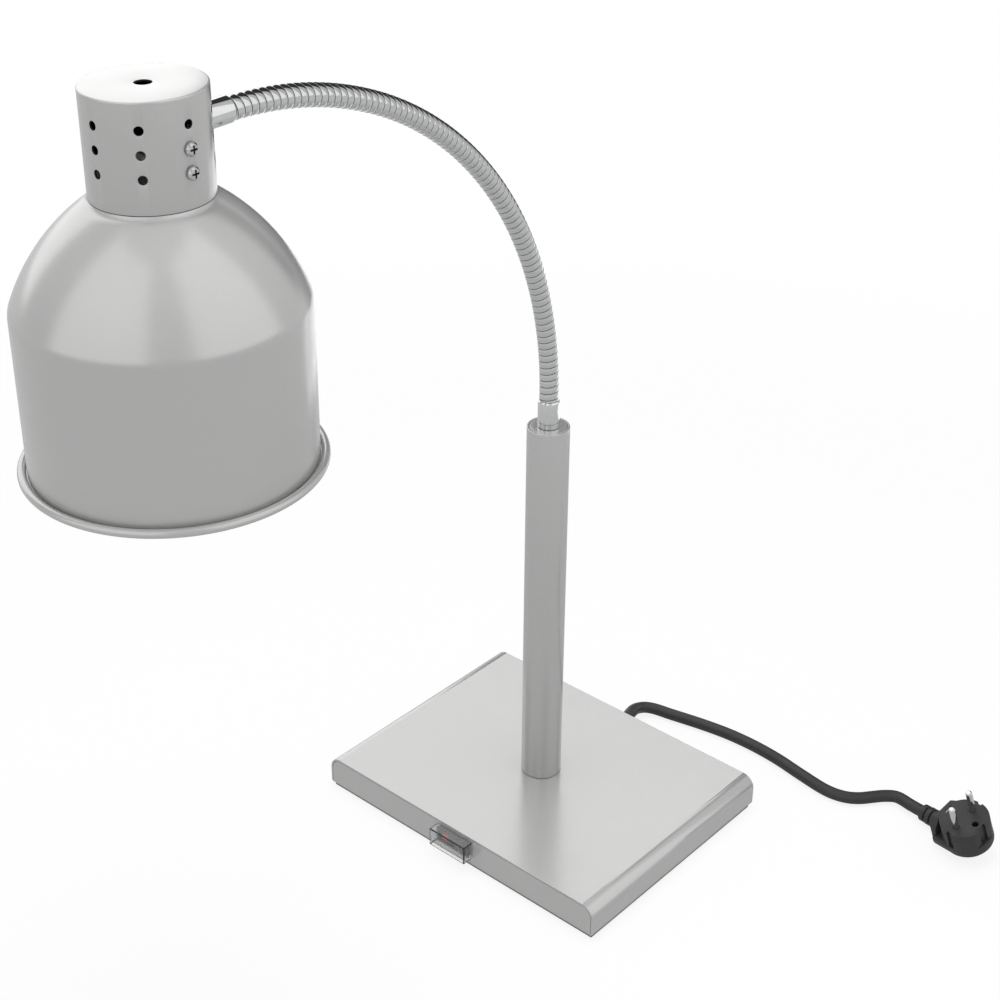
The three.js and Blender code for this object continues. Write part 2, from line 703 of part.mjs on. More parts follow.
// Rocker switch in the front plate, under a clear splash cover
function addSwitch() {
  const face = -baseDepth / 2 - seatGap;
  const bezelFace = face - splashWall - seatGap - bezelThickness;
  const halfW = rockerWidth / 2;
  const halfH = rockerHeight / 2;
  const pivotY = bezelFace + rockerPivotDepth;
  const wellBack = pivotY + 5.4;
  const housing = block(-bezelWidth / 2, bezelFace, switchZ - bezelHeight / 2,
    bezelWidth / 2, bezelFace + bezelThickness, switchZ + bezelHeight / 2)
    .add(block(-switchWidth / 2, bezelFace, switchZ - switchHeight / 2,
      switchWidth / 2, bezelFace + switchDepth, switchZ + switchHeight / 2))
    .subtract(block(-halfW - 0.7, bezelFace - 1, switchZ - halfH - 0.3,
      halfW + 0.7, wellBack, switchZ + halfH + 0.3));
  const bladeEnd = bezelFace + switchDepth + bladeLength;
  const bladeFoot = switchZ - bladeWidth / 2;
  const blades = [-bladeX, bladeX].map((x) => block(x - bladeThickness / 2, bladeEnd - bladeLength - 1,
    bladeFoot, x + bladeThickness / 2, bladeEnd, bladeFoot + bladeWidth));
  add(lamp, 'switch_housing', housing.add(blades[0]).add(blades[1]), blackPlastic);

  // The rocker's two front faces meet at its pivot; its left end is pressed in at rest
  const reach = 3.6;
  const outline = new THREE.Shape();
  outline.moveTo(-halfW, 0.4);
  outline.lineTo(-halfW * 0.75, 3.2);
  outline.lineTo(halfW * 0.75, 3.2);
  outline.lineTo(halfW, 0.4);
  outline.lineTo(halfW, -reach);
  outline.lineTo(0, -reach + halfW * Math.tan(rockerTilt));
  outline.lineTo(-halfW, -reach);
  outline.closePath();
  const flat = new THREE.ExtrudeGeometry(outline, { depth: rockerHeight, bevelEnabled: false });
  flat.translate(0, 0, -halfH);
  const rockerSolid = toSolid(flat);
  const lensHole = moved(bar(lensRadius + slipGap, -1.2, 4, 0, 0, 20), (geometry) => {
    geometry.rotateX(Math.PI / 2);
    geometry.rotateZ(rockerTilt);
    geometry.translate(-lensOffset, -reach + (halfW - lensOffset) * Math.tan(rockerTilt), 0);
  });
  const lens = moved(bar(lensRadius, -1, 0.35, 0, 0, 20), (geometry) => {
    geometry.rotateX(Math.PI / 2);
    geometry.rotateZ(rockerTilt);
    geometry.translate(-lensOffset, -reach + (halfW - lensOffset) * Math.tan(rockerTilt), 0);
  });
  const place = (geometry) => {
    geometry.rotateZ(-rockerTilt);
    geometry.translate(0, pivotY, switchZ);
  };
  add(lamp, 'rocker', moved(rockerSolid.subtract(lensHole), place), blackPlastic);
  add(lamp, 'rocker_lens', moved(lens, place), redPlastic);

  const halfSplash = splashWidth / 2;
  const halfTall = splashHeight / 2;
  const openW = switchWidth / 2 + slipGap;
  const openH = switchHeight / 2 + slipGap;
  const innerW = halfSplash - splashWall;
  const innerH = halfTall - splashWall;
  const splash = block(-halfSplash, face - splashDepth, switchZ - halfTall,
    halfSplash, face, switchZ + halfTall)
    .subtract(block(-innerW, face - splashDepth + splashWall, switchZ - innerH,
      innerW, face - splashWall, switchZ + innerH))
    .subtract(block(-openW, face - splashWall - 1, switchZ - openH, openW, face + 1, switchZ + openH));
  add(lamp, 'splash_cover', splash, clearPlastic);

  return bladeEnd;
}

// Gland, terminal block and the leads inside the base
function addWiring(bladeEnd) {
  const back = baseDepth / 2;
  const along = (solid) => moved(solid, (geometry) => {
    geometry.rotateX(-Math.PI / 2);
    geometry.translate(0, back, glandZ);
  });
  const bore = cordRadius + slipGap;
  const gland = along(tube(glandFlangeRadius, bore, seatGap, seatGap + glandFlange)
    .add(tube(glandBodyRadius, bore, -endSheet - glandTail, seatGap + 1)));
  add(lamp, 'cord_gland', gland, blackPlastic);
  const clipTop = -endSheet - seatGap;
  const clip = along(tube(glandBodyRadius + 2, glandBodyRadius + threadGap, clipTop - 3, clipTop));
  add(lamp, 'gland_nut', clip, blackPlastic);

  const leadEnd = ballastDepth / 2 + leadClear;
  const leadStart = back + seatGap + glandFlange;
  add(lamp, 'cord_inner_end', cable([at(0, leadStart, glandZ), at(0, (leadStart + leadEnd) / 2, glandZ),
    at(0, leadEnd, glandZ)], cordRadius, cordSides, 4), blackRubber);

  const ballastTop = bottomSheet + seatGap + ballastThickness;
  const blockFoot = ballastTop + seatGap;
  const halfLength = blockLength / 2;
  const halfDepth = blockDepth / 2;
  let terminals = block(blockX - halfLength, blockY - halfDepth, blockFoot,
    blockX + halfLength, blockY + halfDepth, blockFoot + blockHeight);
  for (const offset of [-1, 0, 1]) {
    const x = blockX + offset * blockLength / 3;
    terminals = terminals.subtract(block(x - 2, blockY - halfDepth - 1, blockFoot + 2.5,
      x + 2, blockY + halfDepth + 1, blockFoot + 6.5));
    terminals = terminals.subtract(bar(1.8, blockFoot + 5, blockFoot + blockHeight + 1, x, blockY, 12));
  }
  add(lamp, 'terminal_block', terminals, greyPlastic);

  const wireZ = blockFoot + 4.5;
  const blockBack = blockY + halfDepth + seatGap;
  const blockFront = blockY - halfDepth - seatGap;
  const core = wireRadius * 2;
  const leadTurn = leadEnd - wireStraight;
  const live = [at(core, leadEnd - seatGap, glandZ), at(core, leadTurn, glandZ),
    at(wireLoopX, wireLoopY, wireZ), at(wireLoopX, -wireLoopY, wireZ),
    at(bladeX, bladeEnd + wireStraight, switchZ), at(bladeX, bladeEnd + seatGap, switchZ)];
  add(lamp, 'wire_live', cable(live, wireRadius, cordSides, 14), brownWire);
  const neutral = [at(-core, leadEnd - seatGap, glandZ), at(-core, leadTurn, glandZ),
    at(blockX, blockBack + wireStraight, wireZ), at(blockX, blockBack, wireZ)];
  add(lamp, 'wire_neutral', cable(neutral, wireRadius, cordSides, 10), blueWire);
  const earthY = leadTurn - wireStraight - earthRise;
  const earth = [at(0, leadEnd - seatGap, glandZ + core), at(0, leadTurn, glandZ + core),
    at(earthX, earthY + earthRise, ballastTop + wireStraight), at(earthX, earthY, ballastTop + earthRise),
    at(earthX, earthY, ballastTop + wireRadius)];
  add(lamp, 'wire_earth', cable(earth, wireRadius, cordSides, 10), earthWire);
  const poleX = blockX - blockLength / 3;
  const switched = [at(-bladeX, bladeEnd + seatGap, switchZ), at(-bladeX, bladeEnd + wireStraight, switchZ),
    at(poleX, -wireStraight, wireZ), at(poleX, blockFront - wireStraight, wireZ),
    at(poleX, blockFront, wireZ)];
  add(lamp, 'wire_switched', cable(switched, wireRadius, cordSides, 14), brownWire);

  const dipZ = bottomSheet + seatGap + leadRadius + 1.5;
  const riser = [at(blockX + 4, blockFront, wireZ), at(blockX + 4, blockFront - wireStraight, wireZ),
    at(-26, 5, wireZ), at(-16, 0.5, wireZ - 1.5), at(-7, 0, dipZ + 0.5), at(-1, 0, dipZ + 2.6),
    at(0, 0, dipZ + 8), at(0, 0, baseTop + 20), at(0, 0, poleTop / 2), at(0, 0, poleTop - ferruleTail - 4)];
  add(lamp, 'lamp_lead', cable(riser, leadRadius, cordSides, 32), whiteSleeve);
}

// The cord's route, chosen by hand: out of the gland, down to the table, along it, up into the plug
function addCord() {
  const start = baseDepth / 2 + seatGap + glandFlange + seatGap;
  const outlet = plugPoint(-plugOutletX - reliefLength - 2 * seatGap, 0, plugOutletZ);
  const beforeOutlet = plugPoint(-plugOutletX - reliefLength - 11, 0, plugOutletZ);
  const route = [
    at(0, start, glandZ), at(0, start + 7, glandZ), at(-2.2, 116, 13.9), at(-4.5, 124, 11.4),
    at(-5, 131, 8.8), at(-3.3, 136.4, 7.2), at(1, 140.4, 6.2), at(7.5, 143.3, 5.3), at(15, 145.2, 4.9),
    at(24.6, 147.4, 4.9), at(45.3, 151.8, 4.9), at(66.6, 155, 4.9), at(89.1, 155.9, 4.9),
    at(112.9, 154.3, 4.9), at(138, 150.1, 4.9), at(161.9, 146.8, 4.9), at(172.2, 147.6, 4.9),
    at(180.9, 150.7, 4.9), at(188.1, 156.2, 4.9), at(194.2, 163.6, 4.9), at(200.4, 170.7, 5),
    at(208, 175.3, 5.4), beforeOutlet, outlet,
  ];
  add(lamp, 'power_cord', cable(route, cordRadius, cordSides, 34), blackRubber);
}

// A point given in the plug's own frame
function plugPoint(x, y, z) {
  plug.updateMatrixWorld();
  return plug.localToWorld(new THREE.Vector3(x, y, z));
}

// Angled plug: pins along its own +Z, cord leaving along its own -X
function addPlug() {
  const half = plugHousingHalf;
  const outline = new THREE.Shape();
  outline.moveTo(-plugOutletX, -half + plugEdge * 2);
  outline.lineTo(-plugOutletX + plugEdge, -half);
  outline.lineTo(0, -half);
  outline.absarc(0, 0, half, -Math.PI / 2, Math.PI / 2);
  outline.lineTo(-plugOutletX + plugEdge, half);
  outline.lineTo(-plugOutletX, half - plugEdge * 2);
  outline.closePath();
  const tapered = new THREE.ExtrudeGeometry(outline, {
    depth: plugHousingDepth, bevelEnabled: true, bevelThickness: plugTaper,
    bevelSize: plugTaper, bevelOffset: -plugTaper, bevelSegments: 1, curveSegments: 10,
  });
  tapered.translate(0, 0, plugTaper - plugHousingDepth);
  const housing = toSolid(tapered).intersect(block(-50, -50, -plugHousingDepth - 1, 50, 50, 0));

  // The cord's outlet rises beside the face, with a slanted top corner at each side
  const outlet = new THREE.Shape();
  outlet.moveTo(-half + plugEdge, -plugHousingDepth / 2);
  outlet.lineTo(half - plugEdge, -plugHousingDepth / 2);
  outlet.lineTo(half - plugEdge, plugOutletTop - plugEdge * 2);
  outlet.lineTo(half - plugEdge * 3, plugOutletTop);
  outlet.lineTo(-half + plugEdge * 3, plugOutletTop);
  outlet.lineTo(-half + plugEdge, plugOutletTop - plugEdge * 2);
  outlet.closePath();
  const wall = new THREE.ExtrudeGeometry(outlet, { depth: plugOutletThickness, bevelEnabled: false });
  wall.rotateX(Math.PI / 2);
  wall.rotateZ(Math.PI / 2);
  wall.translate(-plugOutletX, 0, 0);

  const face = bar(plugFaceRadius, -plugHousingDepth / 2, plugFaceDepth, 0, 0, 36)
    .intersect(block(-plugFlat, -half, -plugHousingDepth, plugFlat, half, plugFaceDepth + 1));
  const clip = plugClipSlot / 2;
  const guide = plugGuideSlot / 2;
  const inner = plugFlat - plugClipDepth;
  const ridge = plugFaceRadius - plugGuideDepth;
  const slots = block(-plugFaceRadius - 1, -clip, seatGap, -inner, clip, plugFaceDepth + 1)
    .add(block(inner, -clip, seatGap, plugFaceRadius + 1, clip, plugFaceDepth + 1))
    .add(block(-guide, -plugFaceRadius - 1, seatGap, guide, -ridge, plugFaceDepth + 1))
    .add(block(-guide, ridge, seatGap, guide, plugFaceRadius + 1, plugFaceDepth + 1))
    .add(bar(plugEarthHole, plugFaceDepth - 12, plugFaceDepth + 1, plugEarthOffset, 0, 16));
  let body = face.subtract(slots).add(housing).add(toSolid(wall));
  for (const [name, side] of [['plug_pin_1', -1], ['plug_pin_2', 1]]) {
    const y = side * pinSpacing / 2;
    const foot = plugFaceDepth - pinRoot;
    body = body.subtract(bar(pinRadius + threadGap, foot - seatGap, plugFaceDepth + 1, 0, y, 16));
    const tip = plugFaceDepth + pinLength;
    const pin = moved(turned([
      [0, foot], [pinRadius, foot], [pinRadius, tip - 1.2], [pinRadius - 0.9, tip], [0, tip],
    ], 16), (geometry) => geometry.translate(0, y, 0));
    add(plug, name, pin, chrome);
  }
  add(plug, 'plug_body', body, blackRubber);

  // A strip of sprung earth contact in the slot on the cord's side
  const strip = block(-plugFlat, -clip + seatGap, 2 * seatGap,
    -inner - seatGap, clip - seatGap, plugFaceDepth - 2);
  add(plug, 'plug_earth_clip', strip, chrome);

  const ribs = 4;
  const ribPitch = reliefLength / ribs;
  const profile = [[0, 0], [reliefRadius - 1.4, 0]];
  for (let i = 0; i < ribs; i += 1) {
    const radius = reliefRadius + (reliefTipRadius - reliefRadius) * (i + 0.5) / ribs;
    profile.push([radius - 1.4, i * ribPitch + 0.5], [radius, i * ribPitch + 1],
      [radius, (i + 1) * ribPitch - 1], [radius - 1.4, (i + 1) * ribPitch - 0.5]);
  }
  profile.push([0, reliefLength]);
  const relief = moved(turned(profile, 12), (geometry) => {
    geometry.rotateY(-Math.PI / 2);
    geometry.translate(-plugOutletX - seatGap, 0, plugOutletZ);
  });
  add(plug, 'plug_relief', relief, blackRubber);
}

addBase();
addPole();
addNeck();
addCap();
addShade();
addLampAndHolder();
addWiring(addSwitch());
addPlug();
addCord();

export default lamp;
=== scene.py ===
# %% [markdown]
# # A food warming lamp
# A heat lamp like this stands on a counter and keeps plates warm. A flat heavy base carries a pole,
# a ribbed gooseneck holds the head out over the food, and a bell shade hides a reflector bulb.
# The imported model already has every piece at its real place and size, in metres, with +Z up.
# Each visible piece gets its finer form and its finish; all but the neck's lengths ride on their bodies.

# %% Load the imported model
import math

import bmesh
import bpy
from mathutils import Matrix, Vector


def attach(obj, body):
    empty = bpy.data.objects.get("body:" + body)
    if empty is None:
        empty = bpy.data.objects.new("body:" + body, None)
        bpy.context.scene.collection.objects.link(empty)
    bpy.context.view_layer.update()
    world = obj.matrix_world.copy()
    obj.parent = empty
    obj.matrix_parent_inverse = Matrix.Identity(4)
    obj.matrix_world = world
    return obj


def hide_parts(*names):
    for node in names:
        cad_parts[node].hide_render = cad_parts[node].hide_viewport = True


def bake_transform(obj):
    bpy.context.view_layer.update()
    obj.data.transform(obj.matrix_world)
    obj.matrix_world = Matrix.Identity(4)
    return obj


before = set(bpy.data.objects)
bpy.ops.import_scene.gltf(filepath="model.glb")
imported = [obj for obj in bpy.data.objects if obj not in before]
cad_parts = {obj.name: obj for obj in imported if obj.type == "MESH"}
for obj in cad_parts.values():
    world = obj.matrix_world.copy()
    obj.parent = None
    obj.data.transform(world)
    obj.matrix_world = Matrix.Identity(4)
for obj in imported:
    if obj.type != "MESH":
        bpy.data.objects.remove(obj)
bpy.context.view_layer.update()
bpy.ops.object.select_all(action="DESELECT")

# %% [markdown]
# ## Helpers for shaping by hand
# All sizes below are in millimetres, as on a drawing, and the helpers turn them into metres.
# A block or a rod starts as a primitive. A turned piece starts as one vertex that is extruded along
# its outline and spun round an upright axis, which is how metal spinning or a lathe makes it.

# %% Selecting and moving
MM = 0.001


def settle(piece):
    """Leaves one piece selected and active, in object mode."""
    if bpy.context.mode != "OBJECT":
        bpy.ops.object.mode_set(mode="OBJECT")
    bpy.ops.object.select_all(action="DESELECT")
    piece.select_set(True)
    bpy.context.view_layer.objects.active = piece


def place(piece, matrix):
    """Puts a piece somewhere and keeps its object at the origin."""
    piece.matrix_world = matrix
    settle(piece)
    bpy.ops.object.transform_apply(location=True, rotation=True, scale=True)
    return piece


def shift(x, y, z):
    return Matrix.Translation((x * MM, y * MM, z * MM))


def turn(degrees, axis):
    return Matrix.Rotation(math.radians(degrees), 4, axis)


def pick(piece, kind, test):
    """Opens edit mode with the faces or edges selected whose middle and direction pass a test."""
    settle(piece)
    bpy.ops.object.mode_set(mode="EDIT")
    bpy.ops.mesh.select_mode(type=kind)
    bpy.ops.mesh.select_all(action="DESELECT")
    mesh = bmesh.from_edit_mesh(piece.data)
    for part in mesh.faces if kind == "FACE" else mesh.edges:
        corners = [corner.co for corner in part.verts]
        middle = sum(corners, Vector()) / len(corners) / MM
        way = part.normal if kind == "FACE" else (corners[1] - corners[0]).normalized()
        if test(middle, way):
            part.select_set(True)
    mesh.select_flush_mode()
    bmesh.update_edit_mesh(piece.data)


# %% Work in edit mode
TOUCHING = 2e-6


def done():
    bpy.ops.object.mode_set(mode="OBJECT")


def seal(threshold=TOUCHING):
    """Merges corners that touch, turns all faces outwards and leaves edit mode."""
    bpy.ops.mesh.select_all(action="SELECT")
    bpy.ops.mesh.remove_doubles(threshold=threshold)
    bpy.ops.mesh.normals_make_consistent(inside=False)
    done()


def bevel(width, segments):
    """Rounds the selected edges by a width in millimetres."""
    bpy.ops.mesh.bevel(offset=width * MM, segments=segments, affect="EDGES")


def extrude(x=0, y=0, z=0):
    """Pulls the selected faces out by a distance in millimetres."""
    bpy.ops.mesh.extrude_region_move(TRANSFORM_OT_translate={"value": (x * MM, y * MM, z * MM)})


# %% Starting shapes
def block(low, high):
    """A block between two corners."""
    bpy.ops.object.select_all(action="DESELECT")
    middle = [(a + b) / 2 * MM for a, b in zip(low, high)]
    size = [(b - a) * MM for a, b in zip(low, high)]
    bpy.ops.mesh.primitive_cube_add(size=1, location=middle, scale=size)
    piece = bpy.context.object
    bpy.ops.object.transform_apply(location=True, rotation=True, scale=True)
    return piece


def rod(radius, low, high, x=0, y=0, sides=48):
    """A round rod standing between two heights."""
    bpy.ops.object.select_all(action="DESELECT")
    bpy.ops.mesh.primitive_cylinder_add(
        vertices=sides, radius=radius * MM, depth=(high - low) * MM,
        location=(x * MM, y * MM, (low + high) / 2 * MM))
    piece = bpy.context.object
    bpy.ops.object.transform_apply(location=True, rotation=True, scale=True)
    return piece


def drawn(points):
    """One vertex extruded from point to point; the piece is left open in edit mode."""
    bpy.ops.object.select_all(action="DESELECT")
    here = Vector(points[0])
    bpy.ops.mesh.primitive_plane_add(size=MM, location=here * MM)
    bpy.ops.object.transform_apply(location=True, rotation=True, scale=True)
    bpy.ops.object.mode_set(mode="EDIT")
    bpy.ops.mesh.select_mode(type="VERT")
    bpy.ops.mesh.select_all(action="SELECT")
    bpy.ops.mesh.merge(type="CENTER")
    for point in points[1:]:
        there = Vector(point)
        bpy.ops.mesh.extrude_region_move(TRANSFORM_OT_translate={"value": (there - here) * MM})
        here = there
    return bpy.context.object


def spun(outline, steps=96, centre=(0, 0)):
    """An outline of (radius, height) points spun round an upright axis."""
    x, y = centre
    piece = drawn([(x + radius, y, height) for radius, height in outline])
    bpy.ops.mesh.select_all(action="SELECT")
    bpy.ops.mesh.spin(steps=steps, angle=2 * math.pi, center=(x * MM, y * MM, 0), axis=(0, 0, 1))
    seal()
    return piece


def filled(points):
    """A flat face inside a closed outline; the piece is left open in edit mode."""
    piece = drawn(points)
    bpy.ops.mesh.select_all(action="SELECT")
    bpy.ops.mesh.remove_doubles(threshold=TOUCHING)
    bpy.ops.mesh.select_all(action="SELECT")
    bpy.ops.mesh.edge_face_add()
    return piece


def arc(centre_r, centre_z, radius, start, end, steps):
    """Points on an arc in the outline's plane, with angles in degrees."""
    points = []
    for i in range(steps + 1):
        angle = math.radians(start + (end - start) * i / steps)
        points.append((centre_r + radius * math.cos(angle), centre_z + radius * math.sin(angle)))
    return points


def rounded(corners, steps=4):
    """Outline from (radius, height, bend) corners; a corner with a bend is rounded."""
    outline = []
    for i, corner in enumerate(corners):
        here = Vector(corner[:2])
        bend = corner[2] if len(corner) > 2 else 0
        if not bend:
            outline.append(tuple(here))
            continue
        back = (Vector(corners[i - 1][:2]) - here).normalized()
        ahead = (Vector(corners[i + 1][:2]) - here).normalized()
        half = back.angle(ahead) / 2
        middle = here + (back + ahead).normalized() * bend / math.sin(half)
        reach = bend / math.tan(half)
        first = here + back * reach - middle
        sweep = first.angle_signed(here + ahead * reach - middle)
        for k in range(steps + 1):
            spoke = first.copy()
            spoke.rotate(Matrix.Rotation(-sweep * k / steps, 2))
            outline.append(tuple(middle + spoke))
    return outline


# %% [markdown]
# ## Helpers for cutting and finishing
# A hole is cut with a Boolean modifier, because that is how a drill or a punch works: the tool is a
# solid of its own and is taken away. No real edge is perfectly sharp, so a small bevel lets it catch
# the light. Every finished piece goes through the same last step, which also says what moves it.

# %% Cutting, joining and softening
def apply(piece, kind, **settings):
    """Adds one modifier and applies it."""
    settle(piece)
    modifier = piece.modifiers.new(kind.title(), kind)
    for key, value in settings.items():
        setattr(modifier, key, value)
    bpy.ops.object.modifier_apply(modifier=modifier.name)


def carve(piece, tool, operation="DIFFERENCE"):
    """Cuts with a tool, or welds it on, and removes the tool."""
    apply(piece, "BOOLEAN", object=tool, operation=operation, solver="EXACT")
    bpy.data.objects.remove(tool)
    return piece


def soften(piece, width, segments=2, angle=40):
    """Breaks the sharp edges by a width in millimetres."""
    apply(piece, "BEVEL", width=width * MM, segments=segments, limit_method="ANGLE",
          angle_limit=math.radians(angle), harden_normals=False)
    return piece


def bunch(pieces):
    """Joins several cutters into one mesh."""
    settle(pieces[0])
    for piece in pieces:
        piece.select_set(True)
    bpy.ops.object.join()
    return bpy.context.object


def twin(piece):
    """A copy with a mesh of its own."""
    settle(piece)
    bpy.ops.object.duplicate(linked=False)
    return bpy.context.object


BROAD_FACE = 600 * MM * MM


def fit(piece, name, body, slot, finish, *nodes, smooth=35):
    """Names a finished piece, smooths it, gives it its finish and lets it ride on its body."""
    settle(piece)
    piece.name = name
    piece.data.name = name
    if finish:
        piece.data.materials.clear()
        piece.data.materials.append(finish)
    bpy.ops.object.shade_smooth_by_angle(angle=math.radians(smooth))
    for face in piece.data.polygons:
        if face.area > BROAD_FACE:
            face.use_smooth = False
    if body:
        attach(piece, body)
    if nodes:
        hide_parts(*nodes)
    print(name, len(piece.data.polygons), "faces")
    return piece


# %% [markdown]
# ## The camera
# The product picture was taken from the right of the switch, about a metre and a quarter away and
# looking down. A long lens keeps the upright pole nearly upright. The lens and the small shift place
# the lamp in the frame as it was.

# %% Camera
camera_data = bpy.data.cameras.new("viewpoint")
camera_data.sensor_width = 36
camera_data.lens = 67.22
camera_data.shift_x = 0.0283
camera_data.shift_y = -0.0379
camera = bpy.data.objects.new("viewpoint", camera_data)
bpy.context.scene.collection.objects.link(camera)
camera.location = (0.72093, -0.88043, 0.91663)
camera.rotation_euler = (math.radians(90 - 28.77), 0, math.radians(41.97))
bpy.context.scene.camera = camera
print("lens", camera_data.lens, "mm, camera at", tuple(camera.location))

# %% [markdown]
# ## Finishes
# Every finish is mixed from noise in object coordinates, so that it stays on the piece as it moves.
# The silver paint is a satin powder coat: a fine sparkle of flakes, a faint orange peel and slightly
# uneven gloss. The chrome is nearly clean, with faint polishing haze.

# %% A finish made of noise
def finish(name, light, dark, gloss, grain, bump=0.0, metal=0.0, sockets=None):
    """A surface between two colours: grain is the noise scale per metre, gloss a low and high roughness."""
    material = bpy.data.materials.new(name)
    material.use_nodes = True
    tree = material.node_tree
    nodes, links = tree.nodes, tree.links
    shader = nodes["Principled BSDF"]
    shader.inputs["Metallic"].default_value = metal
    for key, value in (sockets or {}).items():
        shader.inputs[key].default_value = value
    place_in = nodes.new("ShaderNodeTexCoord")
    fine = nodes.new("ShaderNodeTexNoise")
    fine.inputs["Scale"].default_value = grain
    fine.inputs["Detail"].default_value = 4
    links.new(place_in.outputs["Object"], fine.inputs["Vector"])
    broad = nodes.new("ShaderNodeTexNoise")
    broad.inputs["Scale"].default_value = grain / 30
    broad.inputs["Detail"].default_value = 3
    links.new(place_in.outputs["Object"], broad.inputs["Vector"])
    colours = nodes.new("ShaderNodeValToRGB")
    colours.color_ramp.elements[0].position = 0.3
    colours.color_ramp.elements[0].color = (*dark, 1)
    colours.color_ramp.elements[1].position = 0.7
    colours.color_ramp.elements[1].color = (*light, 1)
    links.new(fine.outputs["Fac"], colours.inputs["Fac"])
    links.new(colours.outputs["Color"], shader.inputs["Base Color"])
    rough = nodes.new("ShaderNodeMapRange")
    rough.inputs["From Min"].default_value = 0.3
    rough.inputs["From Max"].default_value = 0.7
    rough.inputs["To Min"].default_value = gloss[0]
    rough.inputs["To Max"].default_value = gloss[1]
    links.new(broad.outputs["Fac"], rough.inputs["Value"])
    links.new(rough.outputs["Result"], shader.inputs["Roughness"])
    if bump:
        peel = nodes.new("ShaderNodeBump")
        peel.inputs["Strength"].default_value = bump
        peel.inputs["Distance"].default_value = 0.0002
        links.new(fine.outputs["Fac"], peel.inputs["Height"])
        links.new(peel.outputs["Normal"], shader.inputs["Normal"])
    return material


painted_silver = finish("painted_silver", (0.55, 0.55, 0.545), (0.51, 0.51, 0.507),
                        (0.2, 0.25), 2600, bump=0.05, metal=0.5)
plain_steel = finish("plain_steel", (0.56, 0.56, 0.55), (0.42, 0.42, 0.42), (0.28, 0.4), 900,
                     bump=0.1, metal=1)
bright_chrome = finish("bright_chrome", (0.72, 0.725, 0.73), (0.66, 0.665, 0.67), (0.06, 0.1), 700,
                       metal=1)
screw_chrome = finish("screw_chrome", (0.6, 0.605, 0.61), (0.5, 0.505, 0.51), (0.12, 0.2), 700, metal=1)
raw_iron = finish("raw_iron", (0.09, 0.088, 0.085), (0.045, 0.044, 0.043), (0.65, 0.8), 500,
                  bump=0.5, metal=0.6)
holder_brass = finish("holder_brass", (0.62, 0.46, 0.2), (0.48, 0.34, 0.13), (0.25, 0.35), 800,
                      bump=0.1, metal=1)
# Painted shade: near black inside the cap, in its vents and in the screws' cross recesses.
painted_shade_black = finish("painted_shade_black", (0.02, 0.02, 0.02), (0.012, 0.012, 0.012), (0.7, 0.85), 900,
                      bump=0.2)
# Painted shade: a dark grey for the bottom plate, which sits in shadow under the bent sheet.
painted_shade_grey = finish("painted_shade_grey", (0.16, 0.16, 0.158), (0.13, 0.13, 0.128), (0.5, 0.6), 2000, bump=0.1)
porcelain = finish("porcelain", (0.84, 0.82, 0.76), (0.78, 0.76, 0.7), (0.18, 0.26), 300, bump=0.05)
black_plastic = finish("black_plastic", (0.030, 0.030, 0.032), (0.018, 0.018, 0.019), (0.25, 0.34),
                       2200, bump=0.15)
grey_plastic = finish("grey_plastic", (0.30, 0.31, 0.32), (0.24, 0.25, 0.26), (0.5, 0.6), 1500, bump=0.1)
black_rubber = finish("black_rubber", (0.030, 0.030, 0.031), (0.019, 0.019, 0.020), (0.42, 0.55), 1800,
                      bump=0.25)
brown_cover = finish("brown_cover", (0.13, 0.05, 0.025), (0.09, 0.035, 0.018), (0.4, 0.5), 900, bump=0.1)
blue_cover = finish("blue_cover", (0.03, 0.10, 0.34), (0.02, 0.07, 0.25), (0.4, 0.5), 900, bump=0.1)
earth_cover = finish("earth_cover", (0.45, 0.44, 0.04), (0.07, 0.25, 0.04), (0.4, 0.5), 260, bump=0.1)
glass_sleeve = finish("glass_sleeve", (0.74, 0.71, 0.62), (0.55, 0.52, 0.45), (0.75, 0.9), 2400, bump=0.6)
red_lens = finish("red_lens", (0.55, 0.02, 0.015), (0.42, 0.012, 0.01), (0.08, 0.14), 900,
                  sockets={"Emission Color": (0.6, 0.02, 0.01, 1), "Emission Strength": 0.12})
silvered_glass = finish("silvered_glass", (0.78, 0.78, 0.77), (0.72, 0.72, 0.71), (0.12, 0.2), 500,
                        metal=0.9)
bulb_face_glass = finish("bulb_face_glass", (0.88, 0.88, 0.86), (0.8, 0.8, 0.78), (0.08, 0.18), 260,
                         bump=0.9, sockets={"Transmission Weight": 0.35, "IOR": 1.5})
clear_plastic = finish("clear_plastic", (0.75, 0.76, 0.77), (0.68, 0.69, 0.7), (0.04, 0.08), 300,
                       sockets={"Alpha": 0.12})
# Painted shade: a dark border for the splash cover, where clear plastic seen end on looks dark.
painted_edge_shade = finish("painted_edge_shade", (0.05, 0.052, 0.055), (0.03, 0.031, 0.033), (0.15, 0.25), 900,
                      sockets={"IOR": 1.3})

# %% [markdown]
# ## The mains cord
# A black rubber cord leaves the gland at the back, drops to the counter and runs to the right. The
# picture shows all of it, so its length is what is seen, just under 30 centimetres. It is a flattish
# cord with a soft ridge along each side, so a small profile is swept along a smooth curve.

# %% Where the plug lies
plug_matrix = shift(275.1, 160.4, 17.4) @ turn(-11, "Z") @ turn(-5.3, "Y") @ turn(18.4, "X")


def plug_point(x, y, z):
    """A point of the plug's own drawing, in the lamp's frame."""
    return tuple(plug_matrix @ Vector((x * MM, y * MM, z * MM)) / MM)


print("plug face lies at", [round(part, 1) for part in plug_point(0, 0, 0)])


